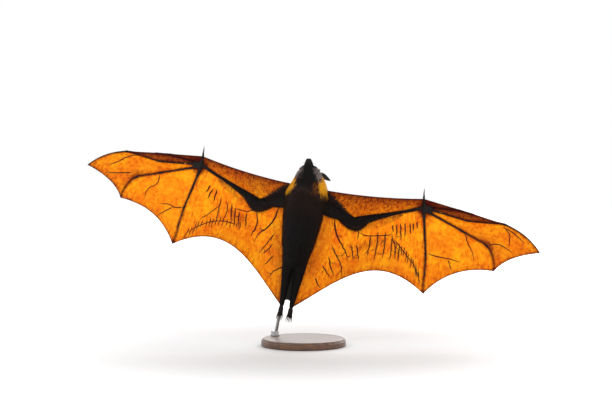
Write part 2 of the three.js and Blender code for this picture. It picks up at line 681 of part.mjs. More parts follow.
// The rod runs down from its socket in the back, along the legs, to a collar on the base.
animal.updateMatrixWorld(true);
const rodDown = ROD.foot.clone().sub(ROD.head).normalize();
const worldHead = ROD.head.clone().applyMatrix4(animal.matrixWorld);
const worldDown = rodDown.clone().transformDirection(animal.matrixWorld);
const reachBase = (BASE.height + 1.5 - worldHead.z) / worldDown.z;
const worldFoot = worldHead.clone().addScaledVector(worldDown, reachBase);
const rodTop = worldHead.clone().addScaledVector(worldDown, 2);
const rod = (grow) => tube(new THREE.LineCurve3(worldFoot, rodTop), () => ROD.radius + grow, { sides: ROD.sides, rings: 1 });
const collar = new THREE.CylinderGeometry(SOCKET.radius - 1.5, SOCKET.radius, SOCKET.height, 24)
  .rotateX(Math.PI / 2).translate(worldFoot.x, worldFoot.y, BASE.height + GAP + SOCKET.height / 2);
const baseProfile = [
  [0, 0], [BASE.radius, 0], [BASE.radius, BASE.height - BASE.edge],
  [BASE.radius - BASE.edge, BASE.height], [0, BASE.height],
].map(([radius, height]) => new THREE.Vector2(radius, height));
const base = new THREE.LatheGeometry(baseProfile, BASE.sides).rotateX(Math.PI / 2);

place(group, 'stand_base', geometryOf(solid(mended(base))), 'wood');
place(group, 'stand_rod', geometryOf(solid(rod(0))), 'steel');
place(group, 'stand_collar', geometryOf(mainPiece(solid(collar).subtract(solid(rod(GAP))))), 'steel');

export default group;
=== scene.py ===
import math

import bmesh
import bpy
import numpy as np
from mathutils import Matrix, Vector, noise


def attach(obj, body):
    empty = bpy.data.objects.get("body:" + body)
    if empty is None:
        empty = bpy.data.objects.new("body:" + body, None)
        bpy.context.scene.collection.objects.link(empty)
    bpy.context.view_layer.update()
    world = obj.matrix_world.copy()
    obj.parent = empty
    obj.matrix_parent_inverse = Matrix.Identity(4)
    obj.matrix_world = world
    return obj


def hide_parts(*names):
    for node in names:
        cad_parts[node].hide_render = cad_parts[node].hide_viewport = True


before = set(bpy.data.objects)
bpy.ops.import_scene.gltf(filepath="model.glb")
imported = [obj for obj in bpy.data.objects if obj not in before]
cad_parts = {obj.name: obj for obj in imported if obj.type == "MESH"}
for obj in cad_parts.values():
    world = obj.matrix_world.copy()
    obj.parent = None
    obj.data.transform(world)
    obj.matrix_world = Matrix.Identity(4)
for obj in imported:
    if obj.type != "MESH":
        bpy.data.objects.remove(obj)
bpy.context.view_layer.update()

# ---------------------------------------------------------------- sizes, as in the solids


def vec(*v):
    return np.array(v, float)


BANK = math.radians(10.5)
SHOULDER = vec(26, 14, -15)
UPPER_ARM = (99, -15.7, 21.3, 0)  # length, heading, rise, bow
FOREARM = (171, 21.3, 4, 0)
THUMB = [(21.5, 100, -40, 0), (19, 96, -40, 0)]
FINGERS = {
    2: dict(offset=vec(4, -1, 4), base=2.3, tip=1.2, joint=0.5, bones=[(80.5, 3.6, 3.6, 0), (31.5, -5.5, 3.7, 0)]),
    3: dict(
        offset=vec(5, 0, -1), base=3.1, tip=1.3, joint=1.2,
        bones=[(100.5, -7.1, 8, 0), (86, 5.6, 6.7, 0), (109, -28.5, 5.5, 9)],
    ),
    4: dict(
        offset=vec(6, 0, -8), base=2.8, tip=1.2, joint=1.1,
        bones=[(94.5, -19.2, 9.1, 0), (68, -20.4, 9.3, 0), (64, -63, -1.8, 6)],
    ),
    5: dict(
        offset=vec(-1, 0, -10), base=3.6, tip=1.2, joint=0.8,
        bones=[(101.5, -76.9, 0.6, 0), (46.5, -82.6, -1.2, 0), (47.5, -82.7, -6, -1.5)],
    ),
}
SPINE = [
    (0, 9, -178), (0, 6, -130), (0, 2, -60), (0, 2, -5), (0, 3, 24), (-2.5, -5, 50), (-7, -21.5, 84.5),
    (-7.4, -22.9, 88),
]
BODY = np.array([  # height along the spine, then the coat's half sizes to the side, back and belly, and its depth
    (-178, 5, 4, 4, 2.5), (-172, 15, 12, 12, 4.5), (-158, 25.5, 21, 20, 6), (-122, 37, 30, 30, 7),
    (-80, 43.5, 36, 37, 7.5), (-38, 47.5, 40, 42, 8), (-5, 48, 41, 42, 9), (20, 46, 38, 38, 9.5),
    (36, 39.5, 33, 30, 7), (49, 32, 27.5, 21.5, 3.6), (58, 25.5, 21.5, 15.5, 2), (66, 17.5, 14.2, 12, 1.1),
    (73, 11.4, 9.6, 10.2, 0.6), (80, 8.9, 8, 8.8, 0.25), (85, 7.8, 6.6, 7, 0.15), (87.4, 4.4, 3.6, 3.6, 0.15),
])
HEAD_LOW, HEAD_WIDE = 26, 34  # where the head is shaped: above this height, and this far to the side
EYE = dict(at=62.5, side=15.3, up=6.5, radius=5.6)
EAR = dict(at=46, side=23, up=15, length=33, width=19, cup=4.7)
EAR_HEADING = {1: vec(0.62, 0.42, -0.22), -1: vec(-0.34, 0.6, -0.42)}
EAR_FACING = vec(0.45, -0.35, 0.8)
ARM_COAT = np.array([  # share of the arm, reach of the coat, its depth
    (0, 20, 7), (0.12, 17.5, 6.5), (0.25, 13.5, 5), (0.36, 13, 5), (0.46, 11.5, 4.5), (0.6, 8.2, 2.8),
    (0.75, 5.6, 1), (1, 5.4, 0.5),
])
ELBOW_TUFT = dict(radius=8, offset=vec(1, 0, -9))
WRIST_BALL = dict(radius=vec(11.5, 7, 13), offset=vec(0, -1, -2))
HIP, KNEE, ANKLE = vec(15.2, 5, -140), vec(13.6, 8, -189), vec(11.6, 3, -268)
LEG_COAT = np.array([(0, 17, 5), (0.2, 15.5, 5), (0.4, 13, 4), (0.6, 10.4, 3), (0.85, 7.4, 1.8), (1, 5.6, 0.8)])
FOOT = dict(length=21, side=6.6, thick=4.4, toes=5, fan=5.4, toe=13, toe_radius=1.75)
TOE_CLAW = dict(length=10, hook=4.5, radius=1.3)
THUMB_CLAW = dict(length=14, hook=3.2, radius=1.7)
FINGER_CLAW = dict(length=4, hook=1.2, radius=0.9)
EDGE_SHOULDER = vec(43, 8, 21)
BASE = dict(radius=100, height=18, edge=3)
ROD = dict(radius=4, foot=vec(-19.5, 46, -350), head=vec(-15, 22, -122))
LOWEST = ANKLE[2] + 3 - FOOT["length"] * 0.75 - FOOT["toe"] - TOE_CLAW["length"]
LIFT = vec(9, -12, BASE["height"] + 38 - LOWEST * math.cos(BANK))
TURN = np.array([[math.cos(BANK), 0, math.sin(BANK)], [0, 1, 0], [-math.sin(BANK), 0, math.cos(BANK)]])
MM = 0.001


def placed(points, side=1):
    """Points on the level animal, in mm, set on the stand, in metres."""
    points = np.array(points, float)
    points[..., 0] *= side
    return (points @ TURN.T + LIFT) * MM


# ---------------------------------------------------------------- lines and curves


def arch(x):
    """0 at both ends, 1 half way."""
    return 4 * x * (1 - x)


def lerp(a, b, t):
    return a + (b - a) * t


def upright(t):
    """Numbers set in a column, so that they scale points."""
    return np.asarray(t, float)[..., None]


def ease(low, high, x):
    """A smooth step from 0 at low to 1 at high."""
    t = np.clip((np.asarray(x, float) - low) / (high - low), 0, 1)
    return t * t * (3 - 2 * t)


def bell(*pairs):
    """1 where every value is 0, falling off over the width that follows each value."""
    return np.exp(-sum((value / width) ** 2 for value, width in zip(pairs[::2], pairs[1::2])))


def unit(v):
    return v / np.maximum(np.linalg.norm(v, axis=-1, keepdims=True), 1e-12)


def dots(a, b):
    """The scalar product of each pair of rows."""
    return (a * b).sum(-1)


class Line:
    """A smooth curve through points, read by share of its length."""

    def __init__(self, points, samples=40):
        p = np.asarray(points, float)
        p = np.vstack([2 * p[0] - p[1], p, 2 * p[-1] - p[-2]])
        runs = []
        for i in range(1, len(p) - 2):
            p0, p1, p2, p3 = p[i - 1 : i + 3]
            d0, d1, d2 = (max(np.linalg.norm(b - a) ** 0.5, 1e-6) for a, b in ((p0, p1), (p1, p2), (p2, p3)))
            m1 = ((p1 - p0) / d0 - (p2 - p0) / (d0 + d1) + (p2 - p1) / d1) * d1
            m2 = ((p2 - p1) / d1 - (p3 - p1) / (d1 + d2) + (p3 - p2) / d2) * d1
            t = upright(np.linspace(0, 1, samples, endpoint=i == len(p) - 3))
            leave = (2 * t**3 - 3 * t**2 + 1) * p1 + (t**3 - 2 * t**2 + t) * m1
            runs.append(leave + (3 * t**2 - 2 * t**3) * p2 + (t**3 - t**2) * m2)
        self.points = np.vstack(runs)
        steps = np.linalg.norm(np.diff(self.points, axis=0), axis=1)
        self.length = steps.sum()
        self.share = np.concatenate([[0], np.cumsum(steps)]) / self.length

    def at(self, t):
        return np.stack([np.interp(t, self.share, self.points[:, k]) for k in range(self.points.shape[1])], -1)

    def along(self, t):
        step = 0.01
        return unit(self.at(np.minimum(np.asarray(t) + step, 1)) - self.at(np.maximum(np.asarray(t) - step, 0)))

    def nearest(self, points, count=160):
        """For each point, how far off the line is and its share there."""
        shares = np.linspace(0, 1, count)
        off = np.linalg.norm(np.asarray(points)[:, None] - self.at(shares)[None], axis=2)
        return off.min(1), shares[off.argmin(1)]


def reading(rows, column):
    """A column of rows read smoothly by the first column."""
    x, y = rows[:, 0], rows[:, column]
    slope = np.gradient(y, x)

    def read(at):
        i = np.clip(np.searchsorted(x, at, side="right") - 1, 0, len(x) - 2)
        span = x[i + 1] - x[i]
        s = np.clip((at - x[i]) / span, 0, 1)
        return (
            (2 * s**3 - 3 * s**2 + 1) * y[i] + (s**3 - 2 * s**2 + s) * span * slope[i]
            + (3 * s**2 - 2 * s**3) * y[i + 1] + (s**3 - s**2) * span * slope[i + 1]
        )

    return read


def heading(length, turn, rise):
    """A bone's run: turn is up or down in the wing, rise is towards the back, in degrees."""
    turn, rise = math.radians(turn), math.radians(rise)
    return length * vec(math.cos(turn) * math.cos(rise), math.sin(rise), math.sin(turn) * math.cos(rise))


def chain(start, bones, count):
    """The joints of a chain of bones, one smooth line along it, and each joint's share of that line."""
    joints, runs = [start], []
    for length, turn, rise, bow in bones:
        step = heading(length, turn, rise)
        a, b = joints[-1], joints[-1] + step
        middle = (a + b) / 2 + unit(vec(-step[2], 0, step[0])) * 2 * bow
        t = upright(np.linspace(0, 1, 60))
        runs.append((1 - t) ** 2 * a + 2 * t * (1 - t) * middle + t**2 * b)
        joints.append(b)
    run = np.vstack(runs)
    steps = np.linalg.norm(np.diff(run, axis=0), axis=1)
    share = np.concatenate([[0], np.cumsum(steps)]) / steps.sum()
    even = np.linspace(0, 1, count + 1)
    passed = np.cumsum([bone[0] for bone in bones])
    return joints, Line(np.stack([np.interp(even, share, run[:, k]) for k in range(3)], -1)), passed / passed[-1]


ARM_JOINTS, ARM, _ = chain(SHOULDER, [UPPER_ARM, FOREARM], 14)
ELBOW, WRIST = ARM_JOINTS[1:]
THUMB_JOINTS, THUMB_LINE, _ = chain(WRIST + vec(-2, -3, 4), THUMB, 6)
for finger in FINGERS.values():
    finger["joints"], finger["line"], finger["shares"] = chain(WRIST + finger["offset"], finger["bones"], 16)
LEG = Line([HIP, KNEE, ANKLE])

# ---------------------------------------------------------------- the surfaces of the wing


def hand_web(near, far, sag, camber):
    """The web between two fingers: its free edge is drawn in by sag and it bellies by camber."""
    inward = unit(WRIST - (near(np.array(1.0)) + far(np.array(1.0))) / 2)

    def at(s, t):
        down = lerp(0.004, 1, t)
        p = lerp(near(down), far(down), upright(s)) + inward * upright(sag * arch(s) * down**2.4)
        p[..., 1] += camber * arch(s) * np.sin(math.pi * 0.85 * down)
        return p

    return at


FLANK = Line([SHOULDER, vec(31, 13, -60), vec(27, 12, -118), vec(20, 10, -170), vec(14.5, 6, -218), ANKLE])
TIP_5 = FINGERS[5]["joints"][3]
THUMB_ROOT = THUMB_JOINTS[1]


def arm_edge(s):
    """The free edge from the ankle to the fifth finger's tip."""
    square = unit(vec(ANKLE[2] - TIP_5[2], 0, TIP_5[0] - ANKLE[0]))
    return lerp(ANKLE, TIP_5, upright(s)) + square * upright(64 * arch(s) * (0.5 + s))


def finger_5_edge(t):
    """The fifth finger's line, begun at the wrist itself."""
    return FINGERS[5]["line"].at(t) + (WRIST - FINGERS[5]["joints"][0]) * upright((1 - t) ** 8)


def arm_web(s, t):
    """A patch between the arm, the fifth finger, the free edge and the flank."""
    s, t = np.broadcast_arrays(np.asarray(s, float), np.asarray(t, float))
    zero, one = np.zeros_like(s), np.ones_like(s)
    corners = ARM.at(zero) * upright((1 - s) * (1 - t)) + ARM.at(one) * upright(s * (1 - t))
    corners += arm_edge(zero) * upright((1 - s) * t) + arm_edge(one) * upright(s * t)
    p = ARM.at(s) * upright(1 - t) + arm_edge(s) * upright(t)
    p += FLANK.at(t) * upright(1 - s) + finger_5_edge(t) * upright(s) - corners
    p[..., 1] += 17 * arch(s) * np.sin(math.pi * 0.9 * t)
    return p


def front_web(s, t):
    """The web in front of the arm, from the side of the neck to the thumb."""
    edge = lerp(EDGE_SHOULDER, THUMB_ROOT, upright(s))
    edge[..., 2] -= 5 * arch(s)
    p = lerp(ARM.at(lerp(0.02, 1, s)), edge, upright(t))
    p[..., 1] -= 3 * arch(s) * arch(t)
    return p


def leading(t):
    """Along the second finger, then straight to the third finger's second joint."""
    bend = 0.58
    two = FINGERS[2]["line"].at(np.minimum(t / bend, 1))
    beyond = lerp(FINGERS[2]["joints"][2], FINGERS[3]["joints"][2], upright((t - bend) / (1 - bend)))
    return np.where(upright(t) < bend, two, beyond)


def web_1_2(s, t):
    """The small web between thumb and second finger."""
    finger = FINGERS[2]["line"]
    return lerp(finger.at(lerp(0.0, 0.72, t)), lerp(THUMB_ROOT, finger.at(np.array(0.74)), upright(t)), upright(s))


def tail_web(s, t):
    """The narrow web between the legs."""
    down = lerp(0.3, 0.86 + 0.08 * (1 - arch(s)), t)
    inner = LEG.at(down)
    return np.stack([lerp(-inner[..., 0], inner[..., 0], s), inner[..., 1] - 0.5, inner[..., 2]], -1)


WEBS = {  # surface, cells across and down, and which way its free edge lies
    "propatagium": (front_web, 110, 24, "down"),
    "web_1_2": (web_1_2, 16, 44, "across"),
    "web_2_3": (
        hand_web(lambda t: FINGERS[3]["line"].at(t * FINGERS[3]["shares"][1]), leading, 0, -2), 16, 90, "across",
    ),
    "web_3_4": (hand_web(FINGERS[4]["line"].at, FINGERS[3]["line"].at, 14, 9), 44, 110, "down"),
    "web_4_5": (hand_web(FINGERS[5]["line"].at, FINGERS[4]["line"].at, 23, 9), 60, 90, "down"),
    "plagiopatagium": (arm_web, 130, 84, "down"),
}

# ---------------------------------------------------------------- making meshes


def spots(mesh):
    """The places of a mesh's points."""
    co = np.empty(len(mesh.vertices) * 3, np.float32)
    mesh.vertices.foreach_get("co", co)
    return co.reshape(-1, 3).astype(float)


def moved(mesh, shape):
    """Moves a mesh's points by a function of their places."""
    mesh.vertices.foreach_set("co", np.asarray(shape(spots(mesh)), np.float32).ravel())
    mesh.update()
    return mesh


def lay(mesh, name, uv):
    """Gives a mesh a UV map from a (place across, place down) for each point."""
    corner = np.empty(len(mesh.loops), np.int32)
    mesh.loops.foreach_get("vertex_index", corner)
    mesh.uv_layers.new(name=name).uv.foreach_set("vector", np.asarray(uv, np.float32)[corner].ravel())


def mark(mesh, **values):
    """Gives a mesh a value for each point, to be read by its material."""
    for name, value in values.items():
        mesh.attributes.new(name, "FLOAT", "POINT").data.foreach_set("value", np.asarray(value, np.float32))


def mended(mesh, merge=0.0):
    """Closes a mesh's seams and turns its faces outwards."""
    bm = bmesh.new()
    bm.from_mesh(mesh)
    if merge:
        bmesh.ops.remove_doubles(bm, verts=bm.verts, dist=merge)
    rims = [e for e in bm.edges if e.is_boundary]
    if rims:
        bmesh.ops.holes_fill(bm, edges=rims, sides=0)
    bmesh.ops.recalc_face_normals(bm, faces=bm.faces)
    bm.to_mesh(mesh)
    bm.free()
    return mesh


def meshed(bm, name):
    """A mesh of its own from a bmesh."""
    mesh = bpy.data.meshes.new(name)
    bm.to_mesh(mesh)
    bm.free()
    return mesh


def flat_grid(across, down):
    """A grid over 0..1 both ways."""
    bm = bmesh.new()
    bmesh.ops.create_grid(bm, x_segments=across, y_segments=down, size=0.5, matrix=Matrix.Translation((0.5, 0.5, 0)))
    return bm


def tube(line, radius, sides, rings, shape=None):
    """A closed tube along a line, in mm. radius is a function of the share of its length."""
    mesh = meshed(flat_grid(sides, rings), "tube")
    flat = spots(mesh)
    lay(mesh, "length", flat[:, :2])

    def wrap(p):
        angle, t = p[:, 0] * 2 * math.pi, p[:, 1]
        tangent = line.along(t)
        side = unit(vec(0, 1, 0) - tangent * tangent[:, 1:2])
        down = np.cross(side, tangent)
        reach = upright(radius(t) if shape is None else radius(t) * shape(t, angle))
        return line.at(t) + side * upright(np.cos(angle)) * reach + down * upright(np.sin(angle)) * reach

    return mended(moved(mesh, wrap), 1e-3)


def joined(meshes, name):
    """One mesh from several."""
    bm = bmesh.new()
    for mesh in meshes:
        bm.from_mesh(mesh)
    return meshed(bm, name)


def piece(name, mesh, finish, slot, *stands_for):
    """A finished piece: it shades smoothly and rides on the one body."""
    mesh.polygons.foreach_set("use_smooth", np.ones(len(mesh.polygons), bool))
    mesh.materials.clear()
    mesh.materials.append(finish)
    mesh.name = name
    made = bpy.data.objects.new(name, mesh)
    bpy.context.scene.collection.objects.link(made)
    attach(made, "root")
    if stands_for:
        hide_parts(*stands_for)


# ---------------------------------------------------------------- finishes


class Tone:
    """A number that varies over a surface. Python arithmetic on it adds Math nodes."""

    def __init__(self, tree, socket):
        self.tree, self.socket = tree, socket

    def maths(self, operation, *others, first=None):
        node = self.tree.nodes.new("ShaderNodeMath")
        node.operation = operation
        for place, value in enumerate([self if first is None else first, *others]):
            if isinstance(value, Tone):
                self.tree.links.new(value.socket, node.inputs[place])
            else:
                node.inputs[place].default_value = value
        return Tone(self.tree, node.outputs[0])

    def __add__(self, other):
        return self.maths("ADD", other)

    def __sub__(self, other):
        return self.maths("SUBTRACT", other)

    def __mul__(self, other):
        return self.maths("MULTIPLY", other)

    def __rsub__(self, other):
        return self.maths("SUBTRACT", self, first=other)

    def above(self, low, high):
        """0 below low, 1 above high, and smooth between them."""
        node = self.tree.nodes.new("ShaderNodeMapRange")
        node.interpolation_type = "SMOOTHSTEP"
        self.tree.links.new(self.socket, node.inputs["Value"])
        node.inputs["From Min"].default_value = low
        node.inputs["From Max"].default_value = high
        return Tone(self.tree, node.outputs["Result"])

    __radd__, __rmul__ = __add__, __mul__


class Finish:
    """A material being made."""

    def __init__(self, name):
        self.material = bpy.data.materials.new(name)
        self.material.use_nodes = True
        self.tree = self.material.node_tree
        self.tree.nodes.clear()
        self.out = self.tree.nodes.new("ShaderNodeOutputMaterial")

    def node(self, kind, settings=None, output=0, **sockets):
        """Adds a node: its settings first, then the values or links of its sockets."""
        node = self.tree.nodes.new("ShaderNode" + kind)
        for key, value in (settings or {}).items():
            setattr(node, key, value)
        for key, value in sockets.items():
            numbered = key[0] == "i" and key[1:].isdigit()
            socket = node.inputs[int(key[1:]) if numbered else key.replace("_", " ")]
            if isinstance(value, Tone):
                self.tree.links.new(value.socket, socket)
            elif isinstance(value, bpy.types.NodeSocket):
                self.tree.links.new(value, socket)
            elif socket.type == "RGBA" and len(value) == 3:
                socket.default_value = (*value, 1)
            else:
                socket.default_value = value
        return node.outputs[output]

    def tone(self, kind, settings=None, output=0, **sockets):
        return Tone(self.tree, self.node(kind, settings, output, **sockets))

    def value(self, name):
        return self.tone("Attribute", {"attribute_name": name}, "Fac")

    def place(self, scale=(1, 1, 1)):
        """A spot on the piece, stretched by scale."""
        return self.node("Mapping", Vector=self.node("TexCoord", output="Object"), Scale=scale)

    def on_map(self, name, scale):
        return self.node("Mapping", Vector=self.node("UVMap", {"uv_map": name}), Scale=(*scale, 1))

    def speckle(self, where, size, detail=3.0, rough=0.55):
        return self.tone("TexNoise", None, "Fac", Vector=where, Scale=size, Detail=detail, Roughness=rough)

    def blend(self, share, low, high):
        """A colour between two by a share."""
        return self.node("Mix", {"data_type": "RGBA"}, 2, i0=share, i6=low, i7=high)

    def bump(self, height, depth, strength=1.0):
        return self.node("Bump", None, "Normal", Height=height, Distance=depth, Strength=strength)

    def finish(self, surface):
        self.tree.links.new(surface, self.out.inputs["Surface"])
        return self.material

    def solid(self, **sockets):
        return self.finish(self.node("BsdfPrincipled", **sockets))


def membrane_finish(name, thin):
    """Thin skin with light behind it: glowing through its middle and darker by bones, folds and edges."""
    f = Finish(name)
    broad = f.speckle(f.place(), 24.0, 3.0)
    fine = f.speckle(f.place(), 130.0, 5.0, 0.65)
    dust = f.speckle(f.place(), 420.0, 2.0, 0.6)
    creases = f.speckle(f.on_map("web", (88, 6)), 1.0, 4.0, 0.65)
    rays = f.speckle(f.on_map("web", (7, 40)), 1.0, 3.0, 0.6)
    cell = f.on_map("web", (24, 15))
    gap = f.tone("TexVoronoi", {"feature": "DISTANCE_TO_EDGE"}, "Distance", Vector=cell, Scale=1.0)
    net = 1 - gap.above(0.0, 0.05)
    shade = f.value("shade")
    glow = (broad * 0.38 + fine * 0.42 + creases * 0.42 + rays * 0.12).above(0.52, 0.86) * (1 - shade)
    stain = (1 - fine).above(0.46, 0.66) * 0.26 + (1 - creases).above(0.46, 0.68) * 0.34
    stain = stain + dust.above(0.62, 0.74) * 0.25
    stain = stain + net * broad.above(0.35, 0.65) * 0.3 + (1 - rays).above(0.5, 0.7) * 0.12
    depth = (shade + stain * (shade * 0.8 + 0.55) - glow * 0.12).above(-0.05, 1.05)
    bright = f.node("BsdfTranslucent", Color=(1.0, 0.67, 0.035))
    middle = f.node("BsdfTranslucent", Color=(0.9, 0.35, 0.003))
    dark = f.node("BsdfTranslucent", Color=(0.24, 0.036, 0.003))
    lit = f.node("MixShader", i0=depth, i1=f.node("MixShader", i0=glow, i1=middle, i2=bright), i2=dark)
    # Painted light: the skin's own surface colour copies the orange of light shining through it, bright where the
    # glow is and dark where shade, stains and thick skin hold the light back.
    colour = f.blend(glow, f.blend(depth, (0.34, 0.12, 0.012), (0.04, 0.012, 0.006)), (0.45, 0.2, 0.02))
    ridges = creases * 0.7 + fine * 0.5 + net * 0.4
    normal = f.bump(ridges, 0.0008, 0.6)
    skin = f.node("BsdfPrincipled", Base_Color=colour, Roughness=0.5, Specular_IOR_Level=0.25, Normal=normal)
    return f.finish(f.node("MixShader", i0=thin, i1=skin, i2=lit))


def bare_skin_finish():
    """Dark bare skin of muzzle, ears, hands and feet; under the coat it takes the coat's gold and silver markings in
    deeper tones.
    """
    f = Finish("bare_skin")
    fine = f.speckle(f.place(), 900.0, 4.0, 0.6)
    broad = f.speckle(f.place(), 90.0, 3.0)
    gold, silver = f.value("gold"), f.value("silver")
    colour = f.blend(broad, (0.0045, 0.003, 0.003), (0.013, 0.0085, 0.008))
    colour = f.blend(gold, colour, (0.42, 0.17, 0.02))
    colour = f.blend(silver, colour, (0.10, 0.085, 0.085))
    wrinkle = f.speckle(f.place((1, 1, 2.4)), 420.0, 3.0, 0.6)
    rough = fine * 0.25 + 0.38
    normal = f.bump(fine * 0.4 + wrinkle, 0.0004, 0.6)
    return f.solid(Base_Color=colour, Roughness=rough, Specular_IOR_Level=0.12, Normal=normal)


def vein_finish():
    """Dark vessels seen through the skin."""
    f = Finish("veins")
    deep = f.speckle(f.place(), 120.0, 2.0)
    colour = f.blend(deep, (0.018, 0.004, 0.003), (0.06, 0.01, 0.005))
    return f.solid(Base_Color=colour, Roughness=0.55, Specular_IOR_Level=0.15)


def wood_finish():
    f = Finish("stained_wood")
    ringed = f.speckle(f.place((1.2, 16, 16)), 9.0, 5.0, 0.6)
    pores = f.speckle(f.place((14, 260, 260)), 4.0, 2.0, 0.7)
    colour = f.blend(ringed.above(0.3, 0.7), (0.065, 0.026, 0.012), (0.15, 0.068, 0.03))
    colour = f.blend(pores.above(0.56, 0.72), colour, (0.028, 0.011, 0.006))
    rough = pores * 0.2 + 0.3
    return f.solid(Base_Color=colour, Roughness=rough, Normal=f.bump(1 - pores, 0.0002, 0.4), Coat_Weight=0.12)


def steel_finish():
    f = Finish("satin_steel")
    brushed = f.speckle(f.place((3, 3, 900)), 6.0, 3.0, 0.7)
    rough, normal = brushed * 0.18 + 0.24, f.bump(brushed, 0.0001, 0.2)
    return f.solid(Base_Color=(0.36, 0.36, 0.37), Metallic=1.0, Roughness=rough, Normal=normal)


# ---------------------------------------------------------------- membranes


def to_line(points, line):
    """Distance of each point to a line, in mm."""
    marks = line.points[::4][None]
    runs = np.array_split(points, 40)
    return np.concatenate([np.linalg.norm(run[:, None] - marks, axis=2).min(1) for run in runs])


WEB_HALF = 0.28  # half a membrane's thickness between its bones, in mm


def membrane(node, side):
    """One membrane: a sheet over its surface, thicker along the bones and the free edge."""
    shape, across, down, free = (tail_web, 14, 40, "down") if node == "tail_web" else WEBS[node.rsplit("_", 1)[0]]
    bm = flat_grid(across, down)
    bmesh.ops.extrude_face_region(bm, geom=bm.faces[:], use_keep_orig=True)
    bm.verts.ensure_lookup_table()
    half = len(bm.verts) // 2
    for i, vert in enumerate(bm.verts):
        vert.co.z = -1 if i < half else 1
    mesh = meshed(bm, node)
    flat = spots(mesh)
    s, t, skin = flat.T
    lay(mesh, "web", flat[:, :2])
    step = 0.002
    at = shape(s, t)
    along_s = shape(np.minimum(s + step, 1), t) - shape(np.maximum(s - step, 0), t)
    along_t = shape(s, np.minimum(t + step, 1)) - shape(s, np.maximum(t - step, 0))
    normal = unit(np.cross(along_s, along_t))
    normal *= np.sign(normal[:, 1:2].mean())
    bones = [ARM] + [f["line"] for f in FINGERS.values()]
    widths = [3.2] + [f["base"] * 0.6 for f in FINGERS.values()]
    gap = np.min([to_line(at, line) - width for line, width in zip(bones, widths)], axis=0)
    if free == "down":
        rim = (1 - t) * np.linalg.norm(shape(s, 1 + 0 * t) - shape(s, 0 * t), axis=1)
    else:
        rim = (1 - s) * np.linalg.norm(shape(1 + 0 * s, t) - shape(0 * s, t), axis=1)
    swell = WEB_HALF + 1.0 * bell(np.maximum(gap, 0), 2.2) + 0.35 * bell(rim, 1.2)
    at = at + normal * upright(skin * swell)
    edge = 0.65 * np.exp(-rim / 1.6) + 0.5 * np.exp(-rim / 6)
    bone = np.exp(-np.maximum(gap, 0) / 1.9)
    wrist = bell(np.linalg.norm(at - WRIST - vec(2, 0, -3), axis=1), 17)
    mark(mesh, shade=np.clip(0.6 * edge + 0.42 * bone + 1.1 * wrist + extra_shade(node, s, t), 0, 1))
    moved(mesh, lambda p: placed(at, side))
    return mended(mesh)


def shoulder_fur(s):
    """How far down the front membrane the shoulder's fur reaches."""
    return 0.95 - 3.1 * s


def extra_shade(node, s, t):
    """Where a membrane is darker than its bones and edges make it."""
    if node.startswith("web_1_2"):
        return 0.5 + 0 * s
    if node.startswith("web_2_3"):
        return 0.42 + 0.1 * s
    if node.startswith("propatagium"):
        return np.maximum(0.22 + 0.2 * ease(0.1, 0.9, t), 0.9 * ease(0.1, -0.08, t - shoulder_fur(s)))
    if node.startswith("web_3_4"):
        return 0.09 + 0.35 * bell(s - 0.05, 0.16, t - 0.72, 0.12)
    if node.startswith("plagiopatagium"):
        return 0.25 * ease(0.16, 0.0, s) + 0.24 * bell(s - 0.52, 0.14, t - 0.47, 0.1)
    return 0 * s


GLOW = membrane_finish("wing_membrane", 0.8)
VEIN = vein_finish()
SKIN = bare_skin_finish()

for side, hand in ((1, "left"), (-1, "right")):
    for web in WEBS:
        node = f"{web}_{hand}"
        piece(f"{web}_{hand}_skin", membrane(node, side), GLOW, "wing_membrane", node)
tail = membrane("tail_web", 1)
mark(tail, gold=np.zeros(len(tail.vertices)), silver=np.zeros(len(tail.vertices)))
piece("tail_web_skin", tail, SKIN, "wing_membrane", "tail_web")

# ---------------------------------------------------------------- veins

